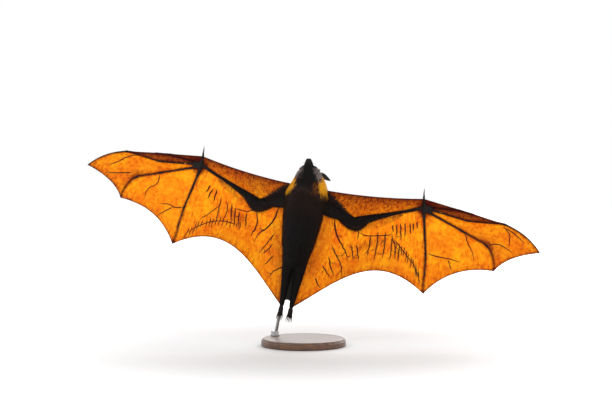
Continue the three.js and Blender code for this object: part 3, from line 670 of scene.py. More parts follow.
# Veins of the right and the left wing. Each row is how thick they start and end, then their paths, in
# thousandths of the membrane, across and down by turns.
VEINS = {
    -1: {
        "plagiopatagium": [
            (1.15, 0.55, (144, 69, 156, 169, 176, 240, 232, 340, 322, 482, 371, 655)),
            (0.8, 0.4, (140, 361, 206, 499, 323, 784), (156, 499, 276, 730), (142, 619, 249, 840),
             (14, 629, 120, 765, 179, 911)),
            (0.55, 0.45, (383, 126, 469, 259, 594, 342)),
            (0.5, 1.0, (369, 122, 346, 339, 405, 597)),
            (0.85, 0.65, (856, 166, 873, 286), (827, 202, 844, 378), (787, 185, 790, 398)),
            (0.6, 0.4, (732, 265, 728, 419, 737, 763), (672, 289, 655, 491, 684, 648)),
            (0.8, 0.5, (621, 290, 609, 578), (581, 328, 577, 619), (542, 338, 534, 619), (468, 276, 462, 526)),
            (0.35, 0.5, (937, 916, 873, 834, 773, 742, 694, 678, 506, 584), (863, 712, 807, 619, 728, 419)),
        ],
        "web_4_5": [
            (0.6, 0.35, (4, 516, 216, 662, 330, 712, 481, 827), (240, 684, 425, 966),
             (969, 441, 738, 604, 728, 790, 691, 904)),
        ],
        "web_3_4": [
            (0.6, 0.35, (873, 561, 705, 791, 754, 891), (196, 737, 482, 888, 701, 979)),
        ],
    },
    1: {
        "plagiopatagium": [
            (1.15, 0.55, (176, 62, 190, 179, 250, 322, 333, 476, 402, 707)),
            (0.55, 0.45, (396, 96, 413, 186, 423, 335), (413, 186, 504, 298, 702, 338, 725, 273)),
            (0.8, 0.5, (372, 385, 448, 730), (421, 413, 501, 767), (531, 303, 558, 742), (592, 258, 627, 820),
             (660, 276, 685, 795), (722, 339, 744, 807), (727, 408, 760, 538, 778, 765), (794, 579, 803, 777)),
            (0.8, 0.65, (721, 170, 727, 286), (754, 165, 763, 353), (787, 157, 798, 425), (827, 150, 834, 368),
             (873, 153, 877, 312), (900, 153, 901, 263), (933, 143, 934, 227)),
            (0.5, 0.4, (732, 408, 845, 627, 923, 740, 985, 900)),
            (0.8, 0.4, (193, 383, 339, 700, 398, 970), (202, 538, 318, 873), (176, 642, 293, 874),
             (144, 771, 223, 956)),
        ],
        "web_4_5": [
            (0.6, 0.35, (46, 511, 315, 691, 594, 878), (388, 760, 448, 937), (990, 441, 781, 667, 755, 880)),
        ],
        "web_3_4": [
            (0.6, 0.35, (26, 721, 340, 803, 552, 948), (863, 662, 740, 763, 514, 871), (863, 662, 858, 897)),
        ],
    },
}


def shares(path):
    """A path's points as shares of its membrane."""
    return np.reshape(path, (-1, 2)) / 1000


def vein(web, thick, thin, path, draw):
    """A thin tube that runs in a membrane, wandering a little."""
    flat = Line(np.asarray(path, float))
    turns = np.linspace(0, 1, max(4, int(flat.length * 34)))
    run = flat.at(turns)
    run += draw.normal(0, 0.0018, run.shape) * upright(np.minimum(1, 6 * arch(turns)))
    line = Line(WEBS[web][0](run[:, 0], run[:, 1]), 6)

    def radius(t):
        return (0.3 + 1.75 * lerp(thick, thin, t)) * (0.3 + 0.7 * ease(0, 0.2, t) * ease(1, 0.75, t))

    return tube(line, radius, 6, 6 + 3 * len(turns))


def twigs(veins, draw):
    """Fine side branches of the thicker veins."""
    found = []
    for thick, _, *path in veins:
        line = Line(np.asarray(path, float))
        for share in draw.uniform(0.2, 0.85, int(line.length * 5 * thick) * (thick > 0.7)):
            start, way = line.at(share), line.along(share)
            lean = draw.choice((-1, 1)) * draw.uniform(0.5, 0.9)
            reach = draw.uniform(0.04, 0.09)
            cos, sin = math.cos(lean), math.sin(lean)
            turned = vec(way[0] * cos - way[1] * sin, way[0] * sin + way[1] * cos)
            end = np.clip(start + turned * reach, 0.01, 0.97)
            found.append((0.22, 0.12, start, (start + end) / 2 + turned[::-1] * vec(-1, 1) * 0.006, end))
    return found


def ticks(band, draw):
    """Short fine lines across a band that runs along the trailing edge."""
    line = Line(shares(band))
    found = []
    for share in np.linspace(0.02, 0.98, int(line.length * 30)):
        middle = line.at(share) + draw.normal(0, 0.004, 2)
        lean = draw.normal(0.004, 0.003)
        up, down = middle - vec(lean, draw.uniform(0.05, 0.09)), middle + vec(lean, draw.uniform(0.05, 0.12))
        found.append((0.4, 0.28, np.clip(up, 0.01, 0.98), middle, np.clip(down, 0.01, 0.98)))
    return found


TICK_BANDS = {-1: (937, 916, 873, 834, 773, 742, 694, 678, 506, 584), 1: (975, 880, 930, 760, 845, 630, 770, 520)}

for side, hand in ((1, "left"), (-1, "right")):
    draw = np.random.default_rng(40 + side)
    network = {}
    for web, rows in VEINS[side].items():
        veins = [(thick, thin, *shares(path)) for thick, thin, *paths in rows for path in paths]
        network[web] = veins + twigs(veins, draw)
    network["plagiopatagium"] += ticks(TICK_BANDS[side], draw)
    runs = [vein(web, a, b, path, draw) for web, veins in network.items() for a, b, *path in veins]
    piece(f"veins_{hand}", moved(joined(runs, "veins"), lambda p: placed(p, side)), VEIN, "bare_skin")

# ---------------------------------------------------------------- body, head and limbs


def finger_tube(f):
    """A finger that thickens at its knuckles and thins to its tip."""
    joints = f["shares"][:-1]

    def radius(t):
        knuckle = np.max([bell((t - share) * f["line"].length, 6) for share in joints], axis=0)
        end = ease(1.0, 0.985, t)
        return (lerp(f["base"] * 0.84, f["tip"] * 0.72, t**0.7) + f["joint"] * knuckle) * (0.3 + 0.7 * end)

    return tube(f["line"], radius, 12, 70)


SPINE_LINE = Line(SPINE, 160)


def spine_at(at):
    """The spine's point at a height, with its directions along, to the left and to the back."""
    share = np.interp(at, SPINE_LINE.points[:, 2], SPINE_LINE.share)
    centre, along = SPINE_LINE.at(share), SPINE_LINE.along(share)
    left = unit(vec(1, 0, 0) - along * along[..., :1])
    return centre, along, left, np.cross(along, left)


def on_spine(points):
    """Where points lie about the spine: height along it, and place to the left and to the back."""
    at = points[:, 2].copy()
    for _ in range(4):
        centre, along, _, _ = spine_at(at)
        at = np.clip(at + dots(points - centre, along), BODY[0, 0], BODY[-1, 0] + 4)
    centre, _, left, back = spine_at(at)
    off = points - centre
    return at, dots(off, left), dots(off, back)


body_side, body_back, body_belly, body_coat = (reading(BODY, k) for k in (1, 2, 3, 4))


def body_mesh(sides, rings):
    """The body from rump to nose, inside its coat."""
    mesh = meshed(flat_grid(sides, rings), "body")

    def wrap(p):
        angle, t = p[:, 0] * 2 * math.pi, p[:, 1]
        at = lerp(BODY[0, 0], BODY[-1, 0], t) + 14 * np.sin(math.pi * t)
        centre, along, left, back = spine_at(at)
        up, coat = np.sin(angle), body_coat(at)
        deep = np.where(up > 0, body_back(at), body_belly(at)) - coat
        side = body_side(at) - coat
        reach = np.maximum(np.hypot(np.cos(angle) * side, up * deep), 0.4)
        return centre + left * upright(np.cos(angle) * reach) + back * upright(up * reach)

    return mended(moved(mesh, wrap), 1e-3)


arm_reach, arm_coat = reading(ARM_COAT, 1), reading(ARM_COAT, 2)
leg_reach, leg_coat = reading(LEG_COAT, 1), reading(LEG_COAT, 2)


def ball(centre, radii, across=24, down=16):
    """A round or egg-shaped lump."""
    bm = bmesh.new()
    bmesh.ops.create_uvsphere(bm, u_segments=across, v_segments=down, radius=1)
    return moved(meshed(bm, "ball"), lambda p: centre + p * radii)


def flipped(mesh):
    """The same mesh for the right side."""
    other = moved(mesh.copy(), lambda p: p * vec(-1, 1, 1))
    bm = bmesh.new()
    bm.from_mesh(other)
    bmesh.ops.reverse_faces(bm, faces=bm.faces)
    bm.to_mesh(other)
    bm.free()
    return other


def thumb_radius(t):
    return np.interp(t, (0, 0.2, 0.45, 0.6, 0.9, 1), (5.7, 4.4, 3.1, 3.2, 2.2, 1.8))


def limb_meshes():
    """The left arm, wrist, thumb and leg, inside their coats."""
    arm = tube(ARM, lambda t: arm_reach(t) - arm_coat(t), 28, 120)
    hem = Line([ARM.at(0.2) + vec(0, 0, -7), ELBOW + ELBOW_TUFT["offset"], ARM.at(0.5) + vec(0, 0, -5)])
    tuft = tube(hem, lambda t: 1.5 + (ELBOW_TUFT["radius"] - 3.5) * arch(t), 16, 50)
    knot, size = WRIST + WRIST_BALL["offset"], WRIST_BALL["radius"]
    knuckles = [  # offset from the wrist's middle, and share of its size
        ((-1.5, 0, 1), (0.62, 0.72, 0.55)), ((3.2, 0.4, 3.5), (0.5, 0.66, 0.42)),
        ((0.5, 0.3, -5.5), (0.46, 0.7, 0.46)), ((-1.5, -1.8, 7.5), (0.42, 0.55, 0.34)),
    ]
    wrist = [ball(knot + vec(*offset), size * vec(*share)) for offset, share in knuckles]
    for f in FINGERS.values():
        inner = knot + (f["offset"] - WRIST_BALL["offset"]) * 0.35
        root = Line(np.vstack([inner, f["line"].at(np.linspace(0.03, 0.16, 5))]))
        wrist.append(tube(root, lambda t, f=f: lerp(f["base"] * 1.3, f["base"] * 0.78, ease(0, 1, t)), 12, 24))
    thumb = tube(THUMB_LINE, thumb_radius, 16, 40)
    leg = tube(LEG, lambda t: leg_reach(t) - leg_coat(t), 24, 70)
    return [arm, tuft, thumb, leg, *wrist]


def smoothed(mesh, grain, rounds):
    """The meshes run together into one skin of even grain, then eased."""
    made = bpy.data.objects.new("blend", mesh)
    bpy.context.scene.collection.objects.link(made)
    remesh = made.modifiers.new("blend", "REMESH")
    remesh.mode, remesh.voxel_size = "VOXEL", grain
    ease_off = made.modifiers.new("ease", "SMOOTH")
    ease_off.factor, ease_off.iterations = 0.5, rounds
    whole = bpy.data.meshes.new_from_object(made.evaluated_get(bpy.context.evaluated_depsgraph_get()))
    bpy.data.objects.remove(made)
    return whole


def beside(at, side, up):
    """A point at a height along the spine, set to the left and to the back."""
    centre, _, left, back = spine_at(np.array(float(at)))
    return centre + left * side + back * up


def lip_height(at):
    """How high the mouth line runs on the side of the muzzle."""
    return -2.4 - 1.4 * ease(84, 62, at) + 0.9 * ease(68, 60, at)


def eye_seat(way):
    """An eye's centre and the directions out of it, forwards and up."""
    _, along, left, back = spine_at(np.array(EYE["at"]))
    out = unit(left * way + along * 0.42 + back * 0.25)
    front = unit(along - out * along.dot(out))
    return beside(EYE["at"], way * EYE["side"], EYE["up"]) - out * 1.5, out, front, np.cross(out, front) * way


def head_shape(p):
    """Muzzle, mouth, nostrils, brow and cheeks on the plain head."""
    at, left, back = on_spine(p)
    centre, along, side, up = spine_at(at)
    out = unit(p - centre)
    shift = np.zeros(len(p))
    muzzle = ease(59, 66, at)
    line = lip_height(at)
    shift -= 1.25 * muzzle * bell(back - line, 0.62) * ease(0.5, 2.5, np.abs(left) + 8 * ease(80, 86, at))
    shift += 0.55 * muzzle * bell(back - line - 1.9, 1.3) * ease(1, 3, np.abs(left))
    shift -= 0.7 * ease(60, 84, at) * ease(-2.8, -5, back)
    shift -= 1.2 * bell(at - 69.5, 4.5, back - 5, 4) * (np.abs(left) > 3)
    shift += 1.2 * bell(at - 55, 6, back + 5, 6) * ease(6, 12, np.abs(left))
    shift -= 0.7 * bell(left, 3.2) * ease(2, 8, back) * ease(60, 70, at)
    shift += 0.16 * np.cos(at * 2.1) * ease(70, 76, at) * ease(82, 78, at) * ease(0, 3, back)
    for way in (1, -1):
        bump = bell(left - way * 3.5, 2.5, at - 85.6, 3, back - 1.6, 3)
        dent = bell(left - way * 4.4, 0.95, back - 1.3, 1.15) * ease(83, 86, at)
        p = p + along * upright(1.6 * bump - 2.4 * dent) + side * upright(way * 0.7 * bump)
    groove = bell(left, 0.9) * ease(83, 86.5, at) * (back < 4)
    p = p - along * upright(2.2 * groove) - side * upright(0.13 * left * ease(76, 84, at))
    return p + out * upright(shift)


def sockets(p):
    """Sinks the eyes in round sockets with a soft swelling about them, the brow over them heavier."""
    for way in (1, -1):
        centre, out, _, top = eye_seat(way)
        off = p - centre
        deep = off @ out
        off = off - upright(deep) * out
        ring = np.linalg.norm(off, axis=1)
        brow = 0.5 + 0.5 * np.clip(off @ top / 5, -1, 1)
        lift = (1.7 + 0.9 * brow) * bell(ring - 5.6, 2.1) - 4.4 * ease(4.6, 3.4, ring)
        p = p + out * upright(np.where(deep > -2, lift, 0))
    return p


def ear_mesh(way):
    """A thin cupped ear: a leaf folded towards its facing side."""
    root = beside(EAR["at"], way * EAR["side"], EAR["up"])
    along = unit(EAR_HEADING[way])
    facing = (EAR_FACING + vec(0, -0.35, -0.1)) * vec(way, 1, 1)
    facing = unit(facing - along * facing.dot(along))
    across = np.cross(along, facing)
    mesh = ball(vec(0, 0, 0), vec(1, 1, 1), 48, 36)
    moved(mesh, lambda p: p[:, [0, 2, 1]] * vec(1, 1, -1))

    def leaf(p):
        x, y, z = p.T
        share = (y + 1) / 2
        taper = 1.12 - 0.62 * share**1.6
        wide = x * EAR["width"] / 2 * taper * 0.97
        ribs = 0.28 * np.cos(x * 9) * arch(share) * (z > 0)
        cup = EAR["cup"] * (x * x - 0.5) * (0.4 + 0.6 * (1 - share))
        deep = z * (0.75 + 0.5 * (1 - share)) + cup + ribs * (1 - x * x)
        notch = 1.1 * bell(x - 0.9, 0.25, share - 0.28, 0.12)
        down = upright(lerp(-7, EAR["length"] * 0.985, share))
        return root + along * down + across * upright(wide - notch) + facing * upright(deep)

    return mended(moved(mesh, leaf))


def foot_mesh():
    """A left foot: a narrow sole and five jointed toes with pads."""
    start = ANKLE + vec(0, 0, 3)
    parts = [ball(start + vec(0, -0.5, -FOOT["length"] * 0.55), vec(FOOT["side"] - 0.6, FOOT["thick"] - 0.5, 12.6))]
    for i in range(FOOT["toes"]):
        spread, root, tip = toe(i)
        knuckle = lerp(root, tip, 0.55) + vec(0, 0.7, 0)
        line = Line([root + vec(-0.3 * spread, 0.3, 4), root, knuckle, tip + vec(0, 0, 0.4)])
        parts.append(tube(line, lambda t: 1.55 + 0.28 * np.cos(t * 17) * ease(0.2, 0.4, t) - 0.25 * t, 12, 26))
    return smoothed(joined(parts, "foot"), 0.5, 3)


def toe(i):
    """A left toe's place across the foot, from -1 to 1, with its root and tip."""
    spread = (i / (FOOT["toes"] - 1) - 0.5) * 2
    root = ANKLE + vec(spread * FOOT["side"] * 0.66, -0.5, 3 - FOOT["length"] * 0.75)
    reach = vec(spread * (FOOT["fan"] - FOOT["side"] * 0.5), -1.5, -FOOT["toe"] + abs(spread) * 1.5)
    return spread, root, root + reach


def lid(way):
    """A soft almond rim that lies on the eyeball."""
    centre, out, front, top = eye_seat(way)
    turns = np.linspace(0, 2 * math.pi, 49)
    high = np.sin(turns) * np.where(np.sin(turns) > 0, 0.62, 0.74)
    spread = front * upright(np.cos(turns) * 0.98) + top * upright(high)
    ring = centre + unit(out + spread * 0.92) * (EYE["radius"] - 0.5)
    return tube(Line(ring), lambda t: 0.62 + 0.3 * np.sin(2 * math.pi * t) ** 2 + 0 * t, 10, 72)


SKIN_GRAIN = 1.7
FINER_ABOVE = (48, 60)  # above each of these heights the head's faces are cut in four once more


def whole_skin():
    """The skin under the coat, and the same with fingers, feet, ears and eyelids added."""
    limbs = limb_meshes()
    body = body_mesh(72, 150)
    trunk = smoothed(joined([body, *limbs, *[flipped(m) for m in limbs]], "body"), SKIN_GRAIN, 5)
    bm = bmesh.new()
    bm.from_mesh(trunk)
    for low in FINER_ABOVE:
        head = [f for f in bm.faces if f.calc_center_median().z > low and abs(f.calc_center_median().x) < HEAD_WIDE]
        edges = {e for f in head for e in f.edges}
        bmesh.ops.subdivide_edges(bm, edges=list(edges), cuts=1, use_grid_fill=True, smooth=0.0)
    bm.to_mesh(trunk)
    bm.free()

    def sculpt(p):
        near = (p[:, 2] > HEAD_LOW) & (np.abs(p[:, 0]) < HEAD_WIDE)
        p[near] = sockets(head_shape(p[near]))
        return p

    moved(trunk, sculpt)
    foot = foot_mesh()
    fingers = [finger_tube(f) for f in FINGERS.values()]
    extras = [foot, flipped(foot), ear_mesh(1), ear_mesh(-1), lid(1), lid(-1)]
    extras += fingers + [flipped(m) for m in fingers]
    return trunk, mended(joined([trunk, *extras], "skin"))


# ---------------------------------------------------------------- markings, the same on skin and coat


def wobble(points, size, seed=0.0):
    """Smooth noise from -1 to 1 at points in mm."""
    return np.array([noise.noise(Vector(p)) for p in np.asarray(points) / size + seed])


def markings(points):
    """Gold mantle, silver cheeks, and how brown the coat is, at points on the level animal."""
    at, left, back, body, arm, arm_share, _, _ = about(points)
    patch = wobble(points, 9.0, 3.1)
    streak = wobble(points * vec(1, 1, 0.22), 2.2, 8.3)
    angle = np.degrees(np.arctan2(back, np.abs(left) + 1e-6))  # -90 at the belly, 90 at the back
    own = 1 - ease(-0.1, 0.2, body - arm) * ease(34, 46, np.abs(points[:, 0]))
    low = np.where(left < 0, 10.0, 19.0) - np.where(left < 0, 24.0, 31.0) * ease(0, 50, angle)
    mantle = ease(low - 7, low + 9, at + 6 * patch + 5 * streak)
    mantle = mantle * ease(50, 42, at + 4 * patch - 5 * ease(-30, 40, angle))
    inward = ease(-46, -24, angle + 14 * patch + 10 * streak)
    reddish = 0.5 * ease(-80, -52, angle + 10 * patch) * (left > 0) * ease(-0.25, 0.35, streak)
    mantle = mantle * np.maximum(inward, reddish) * own * (1 - ease(-10, 35, angle) * (0.2 + 0.12 * streak))
    silver = ease(44, 50, at + 5 * patch) * ease(73, 66, at) * ease(-56, -18, angle + 12 * patch + 8 * streak) * own
    brown = ease(-60, 25, at) * ease(45, 20, at) * own
    over = points[:, 2] - ARM.at(arm_share)[:, 2]
    brown = np.maximum(brown, 0.9 * bell(arm_share - 0.38, 0.1) * ease(0, -10, over) * (1 - own))
    return mantle, silver, brown


# ---------------------------------------------------------------- the coat


def coat_finish():
    """Fur: dark and glossy, gold on the mantle, silver on the cheeks, paler towards the tips."""
    f = Finish("coat")
    tip, luck = f.value("tip"), f.value("luck")
    gold, silver, brown = f.value("gold"), f.value("silver"), f.value("brown")
    fine = f.speckle(f.place(), 260.0, 3.0)
    colour = f.blend(luck, (0.004, 0.003, 0.0033), (0.012, 0.0088, 0.009))
    colour = f.blend(brown * (luck * 0.6 + 0.25), colour, (0.04, 0.015, 0.009))
    colour = f.blend(tip * (luck * 0.25 + 0.08), colour, (0.035, 0.027, 0.026))
    rich = tip * 0.75 + luck * 0.6 + fine * 0.3 + gold * 1.7 - 1.6
    amber = f.blend(rich.above(0, 1), (0.46, 0.12, 0.006), (1.0, 0.475, 0.012))
    colour = f.blend(gold.above(0.2, 0.7), colour, amber)
    grey = f.blend(luck, (0.11, 0.085, 0.082), (0.80, 0.64, 0.58))
    colour = f.blend(silver * (tip * 0.5 + 0.5), colour, grey)
    rough, normal = 0.52 - tip * 0.1, f.bump(fine, 0.0003, 0.3)
    return f.solid(Base_Color=colour, Roughness=rough, Specular_IOR_Level=0.14, Normal=normal)


def about(points):
    """Where points lie on body, arm and leg: how far out on each, 1 at the coat's surface, and the shares along."""
    near = points.copy()
    near[:, 0] = np.abs(near[:, 0])
    at, left, back = on_spine(points)
    deep = np.where(back > 0, body_back(at), body_belly(at))
    body = np.hypot(left / body_side(at), back / deep)
    arm_off, arm_share = ARM.nearest(near)
    leg_off, leg_share = LEG.nearest(near)
    return at, left, back, body, arm_off / arm_reach(arm_share), arm_share, leg_off / leg_reach(leg_share), leg_share


def lie(points):
    """Which way the hairs point, how deep the coat is and where on the skin's unwrap each point is."""
    at, left, back, body, arm, arm_share, leg, leg_share = about(points)
    way = np.where(points[:, 0] < 0, -1.0, 1.0)
    mirror = np.stack([way, np.ones_like(way), np.ones_like(way)], -1)
    on_arm = ease(-0.15, 0.3, body - arm) * ease(-176, -120, points[:, 2])
    on_leg = ease(-0.1, 0.35, body - leg) * ease(-120, -150, points[:, 2])
    _, along, side, up = spine_at(at)
    down_body = -along + side * upright(0.10 * np.sign(left)) - up * upright(0.12 * ease(40, 70, at))
    out_arm = ARM.along(arm_share) * mirror + vec(0, 0, -0.55) - mirror * vec(0.15, 0, 0)
    behind_elbow = bell(arm_share - 0.4, 0.09) * ease(2, -6, points[:, 2] - ARM.at(arm_share)[:, 2])
    out_arm = out_arm + vec(0, 0, -1.6) * upright(behind_elbow)
    down_leg = LEG.along(leg_share) * mirror
    flow = down_body * upright(1 - on_arm) * upright(1 - on_leg)
    flow = flow + out_arm * upright(on_arm) + down_leg * upright(on_leg)
    depth = body_coat(at) * (1 - on_arm) * (1 - on_leg) + arm_coat(arm_share) * on_arm + leg_coat(leg_share) * on_leg
    depth = depth * (1 + 0.35 * behind_elbow * on_arm)
    depth = depth * ease(-14, -32, np.abs(points[:, 0]) - WRIST[0]) * (1 - on_leg * ease(0.93, 1.0, leg_share))
    part = np.where(on_arm > 0.5, 2 + (way < 0), np.where(on_leg > 0.5, 4, 0)).astype(int)
    ring = np.arctan2(back, left) / (2 * math.pi) + 0.5
    spoke = points * mirror - ARM.at(arm_share)
    arm_ring = np.arctan2(spoke[:, 1], spoke[:, 2]) / (2 * math.pi) + 0.5
    shank = points * mirror - LEG.at(leg_share)
    leg_ring = np.arctan2(shank[:, 1], shank[:, 0]) / (4 * math.pi) + 0.25 + 0.5 * (way < 0)
    unwrap = np.stack([
        np.select([part == 0, part == 4], [ring, leg_ring], arm_ring),
        np.select([part == 0, part == 4], [(at + 178) / 266, leg_share], arm_share),
    ], -1)
    return unit(flow), depth, part, unwrap, at


def roots(mesh, density, draw):
    """Evenly scattered points on a mesh, with its normals there."""
    mesh.calc_loop_triangles()
    corner = np.empty(len(mesh.loop_triangles) * 3, np.int32)
    mesh.loop_triangles.foreach_get("vertices", corner)
    corner = corner.reshape(-1, 3)
    co = spots(mesh)
    normal = np.empty(len(mesh.vertices) * 3, np.float32)
    mesh.vertex_normals.foreach_get("vector", normal)
    normal = normal.reshape(-1, 3).astype(float)
    a, b, c = co[corner[:, 0]], co[corner[:, 1]], co[corner[:, 2]]
    want = np.cumsum(0.5 * np.linalg.norm(np.cross(b - a, c - a), axis=1) * density((a + b + c) / 3))
    count = int(want[-1])
    pick = np.searchsorted(want, (np.arange(count) + draw.random(count)) * want[-1] / count)
    pick = np.minimum(pick, len(corner) - 1)
    u, v = draw.random(count), draw.random(count)
    over = u + v > 1
    u, v = np.where(over, 1 - u, u), np.where(over, 1 - v, v)
    share = np.stack([1 - u - v, u, v], -1)[..., None]
    return (co[corner[pick]] * share).sum(1), unit((normal[corner[pick]] * share).sum(1))


TUFT_PATCH = 0.003  # size of a tuft on its piece's map


def tufts(root, normal, flow, length, width, lift, unwrap, values, draw):
    """Tapered three-sided locks of hair as one mesh: two rings and a point each."""
    count = len(root)
    turned = draw.normal(0, 0.16, count)
    ahead = unit(flow - normal * upright(dots(flow, normal)))
    side = np.cross(normal, ahead)
    ahead = ahead * upright(np.cos(turned)) + side * upright(np.sin(turned))
    side = np.cross(normal, ahead)
    lift = lift * draw.uniform(0.7, 1.3, count)
    rise = ahead * upright(np.cos(lift)) + normal * upright(np.sin(lift))
    fall = ahead * upright(np.cos(lift * 0.35)) + normal * upright(np.sin(lift * 0.35))
    fall = fall + side * upright(draw.normal(0, 0.12, count))
    length = length * draw.uniform(0.75, 1.2, count)
    foot = root - normal * upright(0.06 * length)
    middle = root + rise * upright(length * 0.45)
    end = middle + fall * upright(length * 0.55)
    top = np.cross(rise, side)
    points = np.empty((count, 7, 3))
    for k in range(3):
        angle = 2 * math.pi * k / 3 + math.pi / 2
        spoke = side * math.cos(angle) - top * (0.55 * math.sin(angle))
        points[:, k] = foot + spoke * upright(width * 0.5)
        points[:, 3 + k] = middle + spoke * upright(width * 0.42)
    points[:, 6] = end
    shape = [(0, 2, 1)]
    for k in range(3):
        shape += [(k, (k + 1) % 3, 3 + (k + 1) % 3), (k, 3 + (k + 1) % 3, 3 + k)]
    shape = np.array(shape + [(3 + k, 3 + (k + 1) % 3, 6) for k in range(3)])
    faces = (np.arange(count)[:, None, None] * 7 + shape).reshape(-1, 3)
    mesh = bpy.data.meshes.new("tufts")
    mesh.vertices.add(count * 7)
    mesh.vertices.foreach_set("co", points.astype(np.float32).ravel())
    mesh.loops.add(len(faces) * 3)
    mesh.polygons.add(len(faces))
    mesh.loops.foreach_set("vertex_index", faces.ravel().astype(np.int32))
    mesh.polygons.foreach_set("loop_start", (np.arange(len(faces)) * 3).astype(np.int32))
    mesh.update()
    across = np.array([-0.5, 0, 0.5, -0.5, 0, 0.5, 0]) * TUFT_PATCH
    along = np.array([-0.5, -0.5, -0.5, 0, 0, 0, 0.5]) * TUFT_PATCH
    uv = np.stack([unwrap[:, :1] * 0.99 + 0.005 + across, unwrap[:, 1:] * 0.99 + 0.005 + along], -1)
    lay(mesh, "OFBake", uv.reshape(-1, 2))
    mark(mesh, tip=np.tile([0, 0, 0, 0.45, 0.45, 0.45, 1], count), luck=np.repeat(draw.random(count), 7))
    mark(mesh, **{name: np.repeat(value, 7) for name, value in values.items()})
    return mesh


def body_density(points):
    """Tufts to the square mm: more where the coat is short, none on eyes, lips and nose."""
    _, depth, part, _, at = lie(points)
    thick = np.interp(depth, (0.1, 0.4, 1, 3, 5, 8), (0, 5.5, 4.0, 2.0, 1.5, 1.3)) * np.where(part > 1, 0.6, 1)
    eye = np.min([np.linalg.norm(points - eye_seat(way)[0], axis=1) for way in (1, -1)], axis=0)
    _, left, back = on_spine(points)
    mouth = (np.abs(back - lip_height(at)) < 0.8) & (at > 64)
    return thick * (eye > 5.9) * (at < 83) * ~mouth * 1


HAIR_TO_DEPTH, SHORTEST_HAIR = 2.35, 1.5
BANDS = (-200, -112, -62, -22, 14, 40, 100)  # heights between the coat's pieces on the body, in mm


def dress(skin, finish):
    """Covers the skin with fur, piece by piece."""
    draw = np.random.default_rng(7)
    root, normal = roots(skin, body_density, draw)
    flow, depth, part, unwrap, at = lie(root)
    gold, silver, brown = markings(root + draw.normal(0, 1.7, root.shape))
    length = np.maximum(HAIR_TO_DEPTH * depth, SHORTEST_HAIR)
    width = np.clip(0.3 * np.sqrt(length / SHORTEST_HAIR) + 0.018 * length, 0.28, 1.25)
    streak = draw.random(len(root)) < 0.1 + 0.55 * silver
    silver = silver * streak * ease(0.25, 0.6, silver + 0.2 * draw.random(len(root)))
    lift = np.radians(np.interp(length, (SHORTEST_HAIR, 6, 20), (24, 30, 34)))
    names = ["rump", "belly", "chest", "shoulders", "mantle", "head"]
    bands = zip(names, BANDS, BANDS[1:])
    groups = [(f"coat_{name}", (part == 0) & (at >= low) & (at < high)) for name, low, high in bands]
    groups += [("coat_arm_left", part == 2), ("coat_arm_right", part == 3), ("coat_legs", part == 4)]
    for name, own in groups:
        spread = unwrap[own]
        low, high = spread[:, 1].min(), spread[:, 1].max()
        spread[:, 1] = (spread[:, 1] - low) / (high - low)
        values = dict(gold=gold[own], silver=silver[own], brown=brown[own])
        mesh = tufts(root[own], normal[own], flow[own], length[own], width[own], lift[own], spread, values, draw)
        slot = {"coat_head": "head_coat", "coat_mantle": "mantle"}.get(name, "coat")
        piece(name, moved(mesh, placed), finish, slot)


def down_on(sheet, s, t, long, wide, shift, values, draw):
    """Hairs that lie on both faces of a membrane, at shares s and t of it; shift is their place on the map."""
    face = np.where(draw.random(len(s)) < 0.5, 1.0, -1.0)
    root, step = sheet(s, t), 0.01
    out = sheet(s + step, t) - sheet(s - step, t)
    normal = unit(np.cross(out, sheet(s, t + step) - sheet(s, t - step)))
    normal = normal * upright(np.sign(normal[:, 1]) * face)
    flow = unit(sheet(s, t + step) - root) + unit(out) * (0.5 if shift == 0 else 1.6)
    unwrap = np.stack([s * 0.5 + shift, t], -1)
    return tufts(root, normal, flow, long, wide + 0 * s, np.radians(9) + 0 * s, unwrap, values, draw)


def fine_hairs(finish):
    """Whiskers on the muzzle, sparse down on the membranes beside body and arms, and fur before the shoulders."""
    draw = np.random.default_rng(21)
    count = 22
    at, up = draw.uniform(72, 82, count), draw.uniform(-1.4, 2.4, count)
    way = np.where(np.arange(count) % 2, 1.0, -1.0)
    centre, along, left, back = spine_at(at)
    wide = (np.interp(at, BODY[:, 0], BODY[:, 1]) - 0.6) * np.sqrt(np.clip(1 - (up / 8) ** 2, 0, 1))
    root = centre + left * upright(way * wide) + back * upright(up)
    out = unit(left * upright(way) + back * upright(0.1 * up))
    flow = -along * 0.8 + out * 0.5 - back * 0.15
    flat = np.stack([at / 300, up / 20 + 0.5], -1)
    none = dict(gold=0 * at, silver=0 * at, brown=0 * at)
    long = draw.uniform(8, 15, count)
    whiskers = tufts(root, out, flow, long, 0.26 + 0 * at, np.radians(40) + 0 * at, flat, none, draw)
    piece("whiskers", moved(whiskers, placed), finish, "head_coat")
    count = 3600
    few = count * 4 // 9
    for side, hand in ((1, "left"), (-1, "right")):
        near_body = draw.random(count) < 0.5
        s = np.where(near_body, 0.02 + 0.15 * draw.random(count) ** 1.7, draw.uniform(0.15, 0.8, count))
        fade = np.where(near_body, 1, arch(np.clip((s - 0.15) / 0.65, 0, 1)))
        t = np.where(near_body, draw.uniform(0.05, 0.72, count), 0.03 + 0.16 * draw.random(count) ** 1.6 * fade)
        own = dict(gold=0.42 + 0.12 * draw.random(count), silver=0 * s, brown=1 + 0 * s)
        down = down_on(arm_web, s, t, draw.uniform(3.5, 7.5, count), 0.3, 0, own, draw)
        s = 0.004 + 0.3 * draw.random(few)
        t = (0.03 + 0.97 * draw.random(few)) * np.clip(shoulder_fur(s), 0.04, 1)
        own = dict(gold=0 * s, silver=0 * s, brown=draw.random(few))
        shoulder = down_on(front_web, s, t, draw.uniform(8, 14, few), 0.95, 0.5, own, draw)
        down = joined([down, shoulder], "down")
        piece(f"down_{hand}", moved(down, lambda p: placed(p, side)), finish, "coat")


# ---------------------------------------------------------------- eyes, claws and stand


